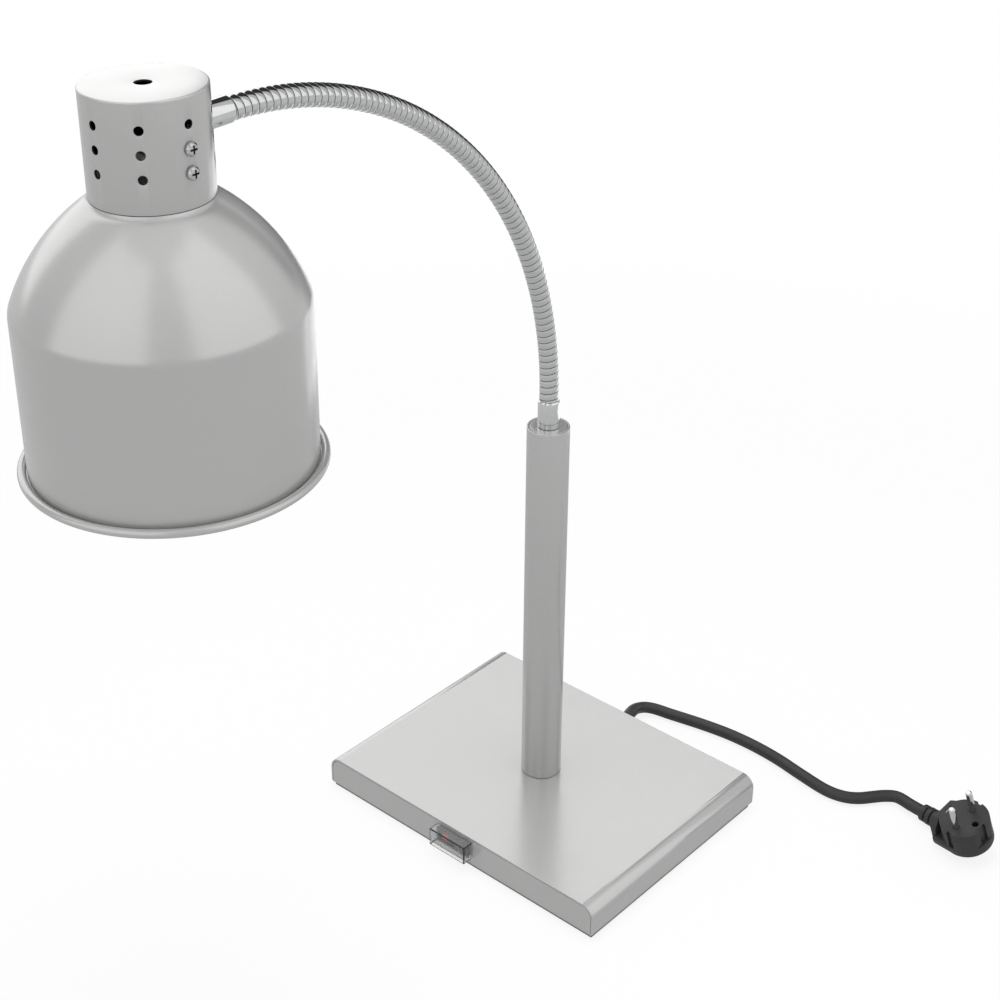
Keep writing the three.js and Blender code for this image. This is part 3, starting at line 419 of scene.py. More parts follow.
# %% The cord's route
OUTLET_X, OUTLET_Z, RELIEF = 21.5, -6, 22
cord_start = 101.1
route = [(0, cord_start, 15), (0, cord_start + 7, 15), (-2.2, 116, 13.9), (-4.5, 124, 11.4), (-5, 131, 8.8),
         (-3.3, 136.4, 7.2), (1, 140.4, 6.2), (7.5, 143.3, 5.3), (15, 145.2, 4.9), (24.6, 147.4, 4.9),
         (45.3, 151.8, 4.9), (66.6, 155, 4.9), (89.1, 155.9, 4.9), (112.9, 154.3, 4.9), (138, 150.1, 4.9),
         (161.9, 146.8, 4.9), (172.2, 147.6, 4.9), (180.9, 150.7, 4.9), (188.1, 156.2, 4.9),
         (194.2, 163.6, 4.9), (200.4, 170.7, 5), (208, 175.3, 5.4),
         plug_point(-OUTLET_X - RELIEF - 11, 0, OUTLET_Z), plug_point(-OUTLET_X - RELIEF - 0.6, 0, OUTLET_Z)]


def smooth_line(points, steps=8):
    """The smooth line through the route's points, with the same rule for its bends as the solid."""
    points = [Vector(point) for point in points]
    ends = [points[0] * 2 - points[1], *points, points[-1] * 2 - points[-2]]
    line = []
    for a, b, c, d in zip(ends, ends[1:], ends[2:], ends[3:]):
        spans = [max((q - p).length ** 0.5, 1e-6) for p, q in ((a, b), (b, c), (c, d))]
        enter = ((b - a) / spans[0] - (c - a) / (spans[0] + spans[1]) + (c - b) / spans[1]) * spans[1]
        leave = ((c - b) / spans[1] - (d - b) / (spans[1] + spans[2]) + (d - c) / spans[2]) * spans[1]
        for i in range(steps):
            t = i / steps
            line.append(b * (2 * t ** 3 - 3 * t ** 2 + 1) + enter * (t ** 3 - 2 * t ** 2 + t)
                        + c * (3 * t ** 2 - 2 * t ** 3) + leave * (t ** 3 - t ** 2))
    return [*line, points[-1]]


cord_line = smooth_line(route)


# %% Sweep the cord
def sweep(line, outline, name):
    """A flat outline swept along a line of points, as a mesh with closed ends."""
    path = bpy.data.curves.new(name, "CURVE")
    path.dimensions = "3D"
    path.twist_mode = "Z_UP"
    path.use_fill_caps = True
    spline = path.splines.new("POLY")
    spline.points.add(len(line) - 1)
    for point, spot in zip(spline.points, line):
        point.co = (*(Vector(spot) * MM), 1)
    section = bpy.data.curves.new(name + "_section", "CURVE")
    section.dimensions = "2D"
    ring = section.splines.new("POLY")
    ring.points.add(len(outline) - 1)
    for point, (x, y) in zip(ring.points, outline):
        point.co = (x * MM, y * MM, 0, 1)
    ring.use_cyclic_u = True
    holder = bpy.data.objects.new(name + "_section", section)
    bpy.context.scene.collection.objects.link(holder)
    path.bevel_mode = "OBJECT"
    path.bevel_object = holder
    piece = bpy.data.objects.new(name, path)
    bpy.context.scene.collection.objects.link(piece)
    settle(piece)
    bpy.ops.object.convert(target="MESH")
    piece = bpy.context.object
    bpy.data.objects.remove(holder)
    bpy.ops.object.mode_set(mode="EDIT")
    seal(1e-6)
    return piece


CORD_R, SECTION_POINTS = 4.75, 32
cord_section = []
for i in range(SECTION_POINTS):
    angle = 2 * math.pi * i / SECTION_POINTS
    ridge = 1 - 0.05 * (1 - abs(math.cos(angle))) ** 0.5 - 0.02 * math.cos(6 * angle)
    cord_section.append((CORD_R * ridge * math.cos(angle), CORD_R * ridge * math.sin(angle)))
mains_cord = fit(sweep(cord_line, cord_section, "mains_cord"), "mains_cord", "base", "black_rubber",
                 black_rubber, "power_cord", smooth=60)

# %% [markdown]
# ## The base
# The base is a steel sheet bent down along its two short sides, with a flat plate let into the front
# and another into the back. The bend is the form that the eye reads first, so a block gets its two
# long top edges rounded, loses the faces that the sheet doesn't have, and is given its thickness.

# %% Bent cover
WIDE, DEEP, TOP, SKIRT = 129, 97.5, 27.5, 3.5
BEND, FOOT_BEND, STEEL, POLE_HOLE = 10, 1.8, 1.5, 8.2
cover = block((-WIDE, -DEEP, SKIRT), (WIDE, DEEP, TOP))
pick(cover, "EDGE", lambda m, way: abs(way.y) > 0.9 and m.z > TOP - 1)
bevel(BEND, 14)
pick(cover, "EDGE", lambda m, way: abs(way.y) > 0.9 and m.z < SKIRT + 1)
bevel(FOOT_BEND, 5)
pick(cover, "FACE", lambda m, way: abs(way.y) > 0.9 or (way.z < -0.9 and abs(m.x) < 100))
bpy.ops.mesh.delete(type="FACE")
done()
apply(cover, "SOLIDIFY", thickness=STEEL * MM, offset=-1)
carve(cover, rod(POLE_HOLE, TOP - 5, TOP + 5))
soften(cover, 0.25)
fit(cover, "cover_sheet", "base", "painted_steel", painted_silver, "base_cover", smooth=30)

# %% [markdown]
# The end plates sit just inside the bent sheet with a hairline seam all round. Each has a lip at its
# foot, bent inwards, that the bottom screws go up into. The front one has the hole for the switch
# and the back one the hole for the cord's gland.

# %% End plates
INSET, LIP, SCREW_X, SCREW_Y = 1.8, 12.5, 100, 90.5
SWITCH_Z, GLAND_Z, GLAND_HOLE = 16.5, 15, 6.6
SWITCH_HOLE_W, SWITCH_HOLE_H = 14, 5.5


def end_plate(side):
    plate = block((-WIDE + INSET, -DEEP, SKIRT), (WIDE - INSET, -DEEP + STEEL, TOP - INSET))
    pick(plate, "EDGE", lambda m, way: abs(way.y) > 0.9 and m.z > SKIRT + 5)
    bevel(BEND - INSET, 12)
    bpy.ops.mesh.select_all(action="SELECT")
    bpy.ops.mesh.bisect(plane_co=(0, 0, (SKIRT + STEEL) * MM), plane_no=(0, 0, 1))
    pick(plate, "FACE", lambda m, way: way.y > 0.9 and m.z < SKIRT + STEEL)
    extrude(y=LIP)
    done()
    if side > 0:
        place(plate, turn(180, "Z"))
    holes = [rod(2.15, 0, 12, x, side * SCREW_Y, 24) for x in (-SCREW_X, SCREW_X)]
    return carve(plate, bunch(holes))


front = end_plate(-1)
carve(front, block((-SWITCH_HOLE_W, -DEEP - 2, SWITCH_Z - SWITCH_HOLE_H),
                   (SWITCH_HOLE_W, -DEEP + 3, SWITCH_Z + SWITCH_HOLE_H)))
soften(front, 0.3)
fit(front, "front_plate_sheet", "base", "painted_steel", painted_silver, "front_plate", smooth=30)
back = end_plate(1)
carve(back, place(rod(GLAND_HOLE, -3, 3), shift(0, DEEP - 1, GLAND_Z) @ turn(90, "X")))
soften(back, 0.3)
fit(back, "rear_plate_sheet", "base", "painted_steel", painted_silver, "rear_plate", smooth=30)

# %% [markdown]
# The bottom plate closes the base and carries the ballast. It is set back in the shadow under the sheet,
# and a dark grey painted shade makes it a thin dark line above the counter. A block is enough, once its
# four screws can sink into it: a wide pit for each head and a hole right through for each shank.

# %% Bottom plate
SET_BACK, PLATE = 2, 3.2
corners = [(x, y) for x in (-SCREW_X, SCREW_X) for y in (-SCREW_Y, SCREW_Y)]
bottom = block((-WIDE + SET_BACK, -DEEP + SET_BACK, 0), (WIDE - SET_BACK, DEEP - SET_BACK, PLATE))
pits = [rod(4.2, -1, 2.3, x, y, 32) for x, y in corners]
shanks = [rod(2.2, 1, 5, x, y, 24) for x, y in corners]
for pit in pits:
    carve(bottom, pit)
carve(bottom, bunch(shanks))
soften(bottom, 0.4)
fit(bottom, "bottom_sheet", "base", "painted_steel", painted_shade_grey, "bottom_plate", smooth=30)

# %% [markdown]
# ## The pole
# A plain painted tube with a plug set level in its top. The plug is a separate disc in the real lamp,
# and a fine dark ring shows where it meets the tube, so both have softly broken edges.

# %% Pole and its plug
POLE, BORE, POLE_FOOT, POLE_TOP = 15, 13.5, 27.8, 321
pole = spun(rounded([(BORE, 100), (BORE, POLE_FOOT), (POLE, POLE_FOOT, 0.3), (POLE, POLE_TOP, 0.45),
                     (BORE, POLE_TOP, 0.3), (BORE, 200), (BORE, 100)]), 96)
fit(pole, "pole_skin", "base", "painted_steel", painted_silver, "pole_tube", smooth=40)
TAIL_HOLE, CUP, CUP_FOOT = 5.15, 13.2, 317
cup = spun(rounded([(TAIL_HOLE, 319), (TAIL_HOLE, CUP_FOOT), (CUP, CUP_FOOT), (CUP, POLE_TOP, 0.4),
                    (TAIL_HOLE, POLE_TOP, 0.3), (TAIL_HOLE, 319)]), 72)
fit(cup, "pole_cap", "base", "painted_steel", painted_silver, "pole_top_plug", smooth=40)

# %% [markdown]
# ## The gooseneck
# The neck is a tight winding of chromed steel strip. Each turn shows as a flat band with a slightly
# swollen middle, about five millimetres wide, with a dark hairline groove between turns. One turn's
# outline is drawn and the Screw modifier winds it. A Curve modifier then lays it along the neck's
# line. It is cut halfway between the hinges, so that each length crosses one hinge.

# %% The neck's line
NECK_FOOT, HINGES = 341.5, 10
LOW_STRAIGHT, NECK_ARC, HIGH_STRAIGHT = 1.9, 267.6, 0.5
stretches = [(LOW_STRAIGHT, 0), (NECK_ARC * math.pi / 2, math.pi / 2), (HIGH_STRAIGHT, 0)]
NECK_LENGTH = sum(length for length, _ in stretches)
AXIS_Z = NECK_FOOT + LOW_STRAIGHT + NECK_ARC
FERRULE, CAP = 20.5, 32.9
HEAD_Y = -(NECK_ARC + HIGH_STRAIGHT + FERRULE + CAP)


def neck_point(distance):
    """The place on the neck's middle line at a distance from its foot."""
    y, z, lean, left = 0, NECK_FOOT, 0, distance
    for length, bend in stretches:
        step = min(left, length)
        part = bend * step / length
        chord = 2 * length / bend * math.sin(part / 2) if bend else step
        y -= chord * math.sin(lean + part / 2)
        z += chord * math.cos(lean + part / 2)
        lean += part
        left -= step
    return (0, y, z)


print("neck length mm", round(NECK_LENGTH, 2), "head at y", round(HEAD_Y, 1))

# %% [markdown]
# The real neck is wound from a shaped strip, and the Screw modifier does the same: it winds one turn's
# outline up the axis. The neck is wound straight first, which keeps every turn alike.

# %% Wind one turn into the whole neck
PITCH, CREST, VALLEY = 5.05, 6.85, 6.15
turns = math.ceil(NECK_LENGTH / PITCH) + 1
band = [(VALLEY, 0), (CREST - 0.22, 0.22), (CREST - 0.1, 0.7), (CREST - 0.02, 1.7), (CREST, 2.525),
        (CREST - 0.02, 3.35), (CREST - 0.1, 4.35), (CREST - 0.22, 4.83), (VALLEY, PITCH)]
neck = drawn([(radius, 0, height) for radius, height in band])
done()
apply(neck, "SCREW", angle=2 * math.pi, screw_offset=PITCH * MM, iterations=turns, steps=64,
      render_steps=64, axis="Z", use_smooth_shade=True, use_normal_calculate=True)
settle(neck)
bpy.ops.object.mode_set(mode="EDIT")
seal()
place(neck, shift(0, 0, -PITCH))
print("wound", turns, "turns with", len(neck.data.polygons), "faces")

# %% [markdown]
# The grooves between the turns get painted shade. The depth of each point is stored while the neck is
# still straight, and the finish reads it, so the painted shade stays in the grooves however the neck bends.

# %% Mark the grooves before the neck is bent
groove = neck.data.attributes.new("groove", "FLOAT", "POINT")
for vertex in neck.data.vertices:
    radius = math.hypot(vertex.co.x, vertex.co.y) / MM
    groove.data[vertex.index].value = (radius - VALLEY) / (CREST - VALLEY)
print("depth stored on", len(groove.data), "points")

# %% Neck chrome, with painted shade in its grooves
neck_chrome = finish("neck_chrome", (0.68, 0.685, 0.69), (0.6, 0.605, 0.61), (0.07, 0.12), 900, metal=1)
tree = neck_chrome.node_tree
# Painted shade: the chrome's colour is multiplied down to near black towards the bottom of each groove.
depth = tree.nodes.new("ShaderNodeAttribute")
depth.attribute_name = "groove"
painted_groove_shade = tree.nodes.new("ShaderNodeValToRGB")
painted_groove_shade.color_ramp.elements[0].position = 0.35
painted_groove_shade.color_ramp.elements[0].color = (0.03, 0.03, 0.03, 1)
painted_groove_shade.color_ramp.elements[1].position = 0.8
painted_groove_shade.color_ramp.elements[1].color = (1, 1, 1, 1)
groove_shade_mix = tree.nodes.new("ShaderNodeMix")
groove_shade_mix.data_type = "RGBA"
groove_shade_mix.blend_type = "MULTIPLY"
groove_shade_mix.inputs["Factor"].default_value = 1
tree.links.new(depth.outputs["Fac"], painted_groove_shade.inputs["Fac"])
metal_colour = tree.nodes["Color Ramp"]
tree.links.new(metal_colour.outputs["Color"], groove_shade_mix.inputs["A"])
tree.links.new(painted_groove_shade.outputs["Color"], groove_shade_mix.inputs["B"])
tree.links.new(groove_shade_mix.outputs["Result"], tree.nodes["Principled BSDF"].inputs["Base Color"])

# %% [markdown]
# The neck has to move at ten hinges. It is cut midway between them, so that each length crosses one
# hinge only.

# %% Cut the neck into lengths and lay each one along the line
line = bpy.data.curves.new("neck_line", "CURVE")
line.dimensions = "3D"
spline = line.splines.new("POLY")
LINE_STEPS = 220
spline.points.add(LINE_STEPS)
for i, point in enumerate(spline.points):
    point.co = (*(Vector(neck_point(NECK_LENGTH * i / LINE_STEPS)) * MM), 1)
neck_line = bpy.data.objects.new("neck_line", line)
bpy.context.scene.collection.objects.link(neck_line)
length = NECK_LENGTH / (HINGES + 1)
CLEAR = 0.3
for hinge in range(1, HINGES + 1):
    start = CLEAR if hinge == 1 else (hinge - 0.5) * length
    end = NECK_LENGTH - CLEAR if hinge == HINGES else (hinge + 0.5) * length
    piece = twin(neck)
    bpy.ops.object.mode_set(mode="EDIT")
    for height, side in ((start, 1), (end, -1)):
        bpy.ops.mesh.select_all(action="SELECT")
        bpy.ops.mesh.bisect(plane_co=(0, 0, height * MM), plane_no=(0, 0, side),
                            use_fill=True, clear_inner=True)
    done()
    apply(piece, "CURVE", object=neck_line, deform_axis="POS_Z")
    nodes = [f"neck_{hinge}"] + ([f"neck_{hinge + 1}"] if hinge == HINGES else [])
    fit(piece, f"neck_winding_{hinge}", None, "bright_chrome", neck_chrome, *nodes, smooth=50)
    Vector(neck_point((hinge - 0.5) * length)) * MM
    Vector(neck_point((hinge + 0.5) * length)) * MM
    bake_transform(piece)
bpy.data.objects.remove(neck_line)
bpy.data.objects.remove(neck)

# %% [markdown]
# ## The ferrules
# A bright sleeve joins the neck to the pole, and its twin joins it to the lamp's cap. Both are turned
# from bar, with a small chamfer at the neck's end and a threaded tail out of sight.

# %% Ferrules
SLEEVE, CHAMFERED, TAIL, WAY_THROUGH = 7.65, 6.9, 5, 3.2


def ferrule():
    return spun(rounded([(WAY_THROUGH, 5), (WAY_THROUGH, -10), (TAIL, -10), (TAIL, 0.3),
                         (SLEEVE, 0.3, 0.25), (SLEEVE, FERRULE - 1.1, 0.3), (CHAMFERED, FERRULE, 0.2),
                         (WAY_THROUGH, FERRULE), (WAY_THROUGH, 5)]), 64)


lower = place(ferrule(), shift(0, 0, POLE_TOP))
fit(lower, "ferrule_foot", "base", "bright_chrome", bright_chrome, "ferrule_lower")
upper = place(ferrule(), shift(0, HEAD_Y + CAP, AXIS_Z) @ turn(-90, "X"))
fit(upper, "ferrule_head", "head", "bright_chrome", bright_chrome, "ferrule_upper")

# %% [markdown]
# ## The cap
# The cap is a drawn cup with a hole in its crown and columns of small round vents that let the bulb's
# heat out. The cup is spun, and all the vents are cut at once by a bunch of rods.

# %% Cap
CAP_TOP, CAP_FOOT, SHEET, CROWN_HOLE, VENT, ROW = 637.7, 579.5, 1.2, 4.7, 2.5, 12.5
COLUMNS, NECK_COLUMN = 8, 2
cap = spun(rounded([(CAP - SHEET, 600), (CAP - SHEET, CAP_FOOT + 0.3), (CAP, CAP_FOOT + 0.3, 0.25),
                    (CAP, CAP_TOP, 1), (CROWN_HOLE, CAP_TOP, 0.15), (CROWN_HOLE, CAP_TOP - SHEET),
                    (CAP - SHEET, CAP_TOP - SHEET, 0.6), (CAP - SHEET, 600)]), 144, (0, HEAD_Y))
drills = []
for column in range(COLUMNS):
    for row in (-1, 0, 1):
        if column == NECK_COLUMN and row == 0:
            continue
        where = (shift(0, HEAD_Y, AXIS_Z + ROW * row) @ turn(360 / COLUMNS * column, "Z")
                 @ turn(90, "Y"))
        drills.append(place(rod(VENT, CAP - 4, CAP + 4, sides=28), where))
drills.append(place(rod(5.2, CAP - 5, CAP + 3), shift(0, HEAD_Y, AXIS_Z) @ turn(-90, "X")))
carve(cap, bunch(drills))
soften(cap, 0.2, 2, 50)
fit(cap, "vented_cap", "head", "painted_aluminium", painted_silver, "lamp_cap", smooth=32)
# The inside of the cap and the walls of its vents get the painted shade.
cap.data.materials.append(painted_shade_black)
for face in cap.data.polygons:
    middle = face.center / MM
    if math.hypot(middle.x, middle.y - HEAD_Y) < CAP - 0.2 and middle.z < CAP_TOP - 0.2:
        face.material_index = 1

# %% [markdown]
# ## The shade
# The bell is spun from one sheet: an upright wall with a rolled bead at its rim, a soft shoulder, a
# dome, and a short neck that tucks up into the cap. Its outline is drawn once round the outside and
# back up the inside, so the wall has its real thickness.

# %% Shade
WALL, DOME, SHOULDER = 79.5, 120, 20.34
FLARE, FLARE_Z = CAP + 2.6, CAP_FOOT - 2.2
BEAD, BEAD_Z, BEAD_R = WALL + 2.95, CAP_FOOT - 152.3, 2.5
DOME_R = WALL - DOME * math.cos(math.radians(SHOULDER))
dome_z = FLARE_Z - math.sqrt(DOME ** 2 - (FLARE - DOME_R) ** 2)


def dome_angle(radius, dome=DOME):
    """Where the dome's arc has a radius, as an angle in degrees."""
    return math.degrees(math.acos((radius - DOME_R) / dome))


outer_dome = arc(DOME_R, dome_z, DOME, dome_angle(FLARE), SHOULDER, 24)
inner_dome = arc(DOME_R, dome_z, DOME - SHEET, dome_angle(WALL - SHEET, DOME - SHEET),
                 dome_angle(CAP - 0.6, DOME - SHEET), 14)
outer = [(31.4, 587), (31.4, CAP_FOOT), (CAP, CAP_FOOT), (CAP + 0.45, CAP_FOOT - 0.55),
         (CAP + 1.25, CAP_FOOT - 1.6), *outer_dome[:-1], (*outer_dome[-1], 16), (WALL, BEAD_Z),
         *arc(BEAD, BEAD_Z, BEAD_R, 180, -126, 20)]
inner = [(WALL - SHEET, BEAD_Z), (WALL - SHEET, 480), *inner_dome, (30.2, CAP_FOOT - SHEET),
         (30.2, CAP_FOOT + 10), (31.4, CAP_FOOT + 10), (31.4, 587)]
bell = spun(rounded([*outer, *inner], 6), 128, (0, HEAD_Y))
fit(bell, "bell_shade", "head", "painted_aluminium", painted_silver, "shade", smooth=38)

# %% [markdown]
# ## Screws
# Four pan-head screws hold the lampholder's bracket inside the cap, and four more close the base from
# below. One is turned on a lathe outline, its cross recess is cut and given painted shade inside, and it
# is copied to each of the four places on the cap. The ones below the base keep their solids.

# %% Screws
def cross_screw(head, height, shank, reach, slot):
    """A pan-head screw with its head's foot at the origin; slot is half the cross's width."""
    piece = spun(rounded([(0, -reach), (shank - 0.4, -reach), (shank, -reach + 0.5), (shank, 0),
                          (head, 0, 0.15), (head, height * 0.45, 0.4), (head * 0.72, height * 0.9, 0.6),
                          (0, height)]), 40)
    arm = head * 0.62
    carve(piece, block((-arm, -slot, height - 1.5), (arm, slot, height + 1)))
    return carve(piece, block((-slot, -arm, height - 1.45), (slot, arm, height + 1)))


HEAD_R, HEAD_H = 3.7, 2.7
cap_screw = cross_screw(HEAD_R, HEAD_H, 1.9, 8, 0.55)
cap_screw.data.materials.append(screw_chrome)
cap_screw.data.materials.append(painted_shade_black)
# Faces deep in the cross recess get the painted shade.
for face in cap_screw.data.polygons:
    spot = face.center / MM
    if 0 < spot.z < HEAD_H - 0.3 and math.hypot(spot.x, spot.y) < HEAD_R * 0.6:
        face.material_index = 1
number = 1
for angle in (0, 180):
    for row in (0, -1):
        where = (shift(0, HEAD_Y, AXIS_Z + ROW * row) @ turn(angle, "Z") @ turn(90, "Y")
                 @ shift(0, 0, CAP + 0.3))
        fit(place(twin(cap_screw), where), f"pan_screw_{number}", "head", "bright_chrome", None,
            f"cap_screw_{number}")
        number += 1
bpy.data.objects.remove(cap_screw)

# %% [markdown]
# ## The lampholder and the bulb
# Looking up into the shade shows a reflector bulb: pressed glass, silvered behind, with a clear dimpled
# face. It screws into a porcelain holder with a brass shell, which hangs from the steel bracket.

# %% Lampholder
HOLDER_TOP, HOLDER_FOOT = 603.15, 559.15
holder = spun(rounded([(5.15, 600), (5.15, HOLDER_TOP), (17, HOLDER_TOP, 1), (17, HOLDER_TOP - 10, 1.5),
                       (22, HOLDER_TOP - 15, 2), (22, HOLDER_FOOT, 1.4), (14.2, HOLDER_FOOT, 0.6),
                       (14.2, HOLDER_TOP - 7.2), (5.15, HOLDER_TOP - 7.2), (5.15, 600)]), 64, (0, HEAD_Y))
fit(holder, "porcelain_holder", "head", "porcelain", porcelain, "lampholder")

# %% [markdown]
# The bulb's glass is pressed in a mould, so it is a turned shape too: a narrow neck, a silvered bowl and
# a faintly domed face. One outline runs up the outside and back down the inside, which gives the glass
# its thickness, and the face alone gets the clear finish.

# %% Bulb
BULB_TOP = 591.95
BULB_FACE, GLASS_FOOT = BULB_TOP - 136, BULB_TOP - 29
glass_height = GLASS_FOOT - BULB_FACE
outside = [(0, BULB_FACE), (30.5, BULB_FACE + 1.2, 60), (56.1, BULB_FACE + 5, 6), (61, BULB_FACE + 9, 3),
           (61, BULB_FACE + 13, 2), (58, BULB_FACE + 18, 3), (51.9, BULB_FACE + glass_height * 0.36, 30),
           (41.5, BULB_FACE + glass_height * 0.58, 30), (29.3, BULB_FACE + glass_height * 0.77, 20),
           (18.3, BULB_FACE + glass_height * 0.9, 10), (11, GLASS_FOOT - 2, 3), (11, GLASS_FOOT + 6)]
inside = [(8.6, GLASS_FOOT + 6), (8.6, GLASS_FOOT - 2), (16, BULB_FACE + glass_height * 0.9),
          (27, BULB_FACE + glass_height * 0.77), (39, BULB_FACE + glass_height * 0.58),
          (49.4, BULB_FACE + glass_height * 0.36), (55.5, BULB_FACE + 18), (58.5, BULB_FACE + 13),
          (58, BULB_FACE + 10), (54, BULB_FACE + 7.4), (30, BULB_FACE + 3.6), (0, BULB_FACE + 2.4)]
bulb = spun(rounded([*outside, *inside], 5), 96, (0, HEAD_Y))
fit(bulb, "reflector_bulb", "head", "bulb_glass", silvered_glass, "bulb_glass")
bulb.data.materials.append(bulb_face_glass)
for face in bulb.data.polygons:
    if face.center.z < (BULB_FACE + 9) * MM:
        face.material_index = 1

# %% [markdown]
# ## The switch
# A narrow rocker switch sits in the front plate under a clear splash cover. Its body is a thin bezel
# with a deep well behind it and two blades for the wires. The well and the blades are welded to the
# bezel with a Boolean, because the real body is one moulding.

# %% Switch body
COVER_WALL, SEAM, BEZEL_T = 0.7, 0.3, 1.6
FACE_Y = -DEEP - SEAM
BEZEL_Y = FACE_Y - COVER_WALL - SEAM - BEZEL_T
HALF_W, HALF_H = 12.3, 4.1
PIVOT_Y = BEZEL_Y + 3
BEZEL_W, BEZEL_H, WELL_W, WELL_H, GAP_X, GAP_Z = 15.5, 6.2, 13.8, 5.3, 0.7, 0.3
bezel = block((-BEZEL_W, BEZEL_Y, SWITCH_Z - BEZEL_H), (BEZEL_W, BEZEL_Y + BEZEL_T, SWITCH_Z + BEZEL_H))
soften(bezel, 0.5, 3)
well = block((-WELL_W, BEZEL_Y + 0.4, SWITCH_Z - WELL_H), (WELL_W, BEZEL_Y + 19, SWITCH_Z + WELL_H))
carve(bezel, well, "UNION")
carve(bezel, block((-HALF_W - GAP_X, BEZEL_Y - 1, SWITCH_Z - HALF_H - GAP_Z),
                   (HALF_W + GAP_X, PIVOT_Y + 5.4, SWITCH_Z + HALF_H + GAP_Z)))
blades = bunch([block((x - 0.4, BEZEL_Y + 17, SWITCH_Z - 2.4), (x + 0.4, BEZEL_Y + 27, SWITCH_Z + 2.4))
                for x in (-6, 6)])
carve(bezel, blades, "UNION")
fit(bezel, "switch_body", "base", "black_plastic", black_plastic, "switch_housing")

# %% [markdown]
# Seen from above, the rocker's front is a shallow V, so one end stands out while the other is pressed
# in. That outline is drawn, filled and pulled up to the rocker's height. A pit takes the red lens,
# which is turned like a coin with a domed face.

# %% Rocker and lens
TILT, FRONT, LENS_X, LENS_R, PIT_R = 9, -3.6, 7.4, 3, 3.2
slope = math.tan(math.radians(TILT))
side_line = [(-HALF_W, 0.4), (-HALF_W * 0.75, 3.2), (HALF_W * 0.75, 3.2), (HALF_W, 0.4), (HALF_W, FRONT),
             (0, FRONT + HALF_W * slope), (-HALF_W, FRONT), (-HALF_W, 0.4)]
rocker = filled([(x, y, -HALF_H) for x, y in side_line])
extrude(z=2 * HALF_H)
seal()
soften(rocker, 0.35, 3, 20)
lens_seat = shift(-LENS_X, FRONT + (HALF_W - LENS_X) * slope, 0) @ turn(TILT, "Z") @ turn(90, "X")
carve(rocker, place(rod(PIT_R, -4, 1.2, sides=40), lens_seat))
lens = place(spun(rounded([(0, 1), (LENS_R, 1), (LENS_R, -0.3, 0.4), (2, -0.6, 1.5), (0, -0.7)]), 40),
             lens_seat @ turn(180, "X"))
at_rest = shift(0, PIVOT_Y, SWITCH_Z) @ turn(-TILT, "Z")
fit(place(rocker, at_rest), "rocker_key", "switch_rocker", "black_plastic", black_plastic, "rocker")
fit(place(lens, at_rest), "rocker_window", "switch_rocker", "red_lens", red_lens, "rocker_lens")

# %% [markdown]
# The splash cover is a thin clear box that keeps grease out. Clear plastic looks darkest along its edges,
# where a wall is seen end on, so every face gets a narrow border by an inset, and the border gets a
# darker finish as painted shade. A box cut from inside the cover leaves the walls.

# %% Splash cover
COVER_W, COVER_H, COVER_OUT, BORDER = 17, 7.35, 8.6, 0.65
room_w, room_h = COVER_W - COVER_WALL, COVER_H - COVER_WALL
splash = block((-COVER_W, FACE_Y - COVER_OUT, SWITCH_Z - COVER_H), (COVER_W, FACE_Y, SWITCH_Z + COVER_H))
soften(splash, 0.45, 3)
pick(splash, "FACE", lambda m, way: max(abs(part) for part in way) > 0.99)
bpy.ops.mesh.inset(thickness=0.35 * MM, depth=0, use_individual=True)
done()
carve(splash, block((-room_w, FACE_Y - COVER_OUT + COVER_WALL, SWITCH_Z - room_h),
                    (room_w, FACE_Y - COVER_WALL, SWITCH_Z + room_h)))
carve(splash, block((-SWITCH_HOLE_W, FACE_Y - 2, SWITCH_Z - SWITCH_HOLE_H),
                    (SWITCH_HOLE_W, FACE_Y + 1, SWITCH_Z + SWITCH_HOLE_H)))
fit(splash, "splash_box", "base", "clear_plastic", clear_plastic, "splash_cover")
# The narrow borders get the painted shade.
splash.data.materials.append(painted_edge_shade)
for face in splash.data.polygons:
    spot = face.center / MM
    inward = sorted([COVER_W - abs(spot.x), COVER_H - abs(spot.z - SWITCH_Z),
                     abs(spot.y - FACE_Y + COVER_OUT)])
    if inward[1] < BORDER:
        face.material_index = 1

# %% [markdown]
# ## The cord's gland and the plug
# The cord comes out through a round plastic gland, a short turned sleeve with a collar that rests on
# the rear plate. At the cord's other end is an angled rubber plug, which lies on its back.

# %% Gland
PASSAGE, STEM, COLLAR = 4.9, 6.4, 7.5
gland = spun(rounded([(PASSAGE, 0), (PASSAGE, -8.5), (STEM, -8.5, 0.4), (STEM, 0.3), (COLLAR, 0.3, 0.3),
                      (COLLAR, 3.3, 0.9), (PASSAGE, 3.3, 0.5), (PASSAGE, 0)]), 56)
place(gland, shift(0, DEEP, GLAND_Z) @ turn(-90, "X"))
fit(gland, "cord_gland_ring", "base", "black_plastic", black_plastic, "cord_gland")

# %% [markdown]
# The plug's housing is drawn from its front: a half circle that runs on to a square end for the cord. It
# is pulled back once straight and once with a taper, which is how a mould lets rubber out.

# %% Plug housing
HOUSING, BACK, TAPER = 18.4, 13, 7
rim = [(-OUTLET_X, -HOUSING + 6), (-OUTLET_X + 3, -HOUSING), (0, -HOUSING)]
rim += [(HOUSING * math.sin(math.radians(a)), -HOUSING * math.cos(math.radians(a)))
        for a in range(6, 175, 6)]
rim += [(0, HOUSING), (-OUTLET_X + 3, HOUSING), (-OUTLET_X, HOUSING - 6), (-OUTLET_X, -HOUSING + 6)]
housing = filled([(x, y, 0) for x, y in rim])
extrude(z=TAPER - BACK)
extrude(z=-TAPER)
long_half = (OUTLET_X + HOUSING) / 2
bpy.ops.transform.resize(value=(1 - TAPER / long_half, 1 - TAPER / HOUSING, 1),
                         center_override=((HOUSING - long_half) * MM, 0, -BACK * MM))
seal()
soften(housing, 1.2, 3, 25)

# %% [markdown]
# The cord's outlet and the round face are plain solids, welded on with a Boolean so that all share one
# skin. The face's flats, its side grooves, its earth hole and the two seats of its pins are cut first,
# one tool at a time.

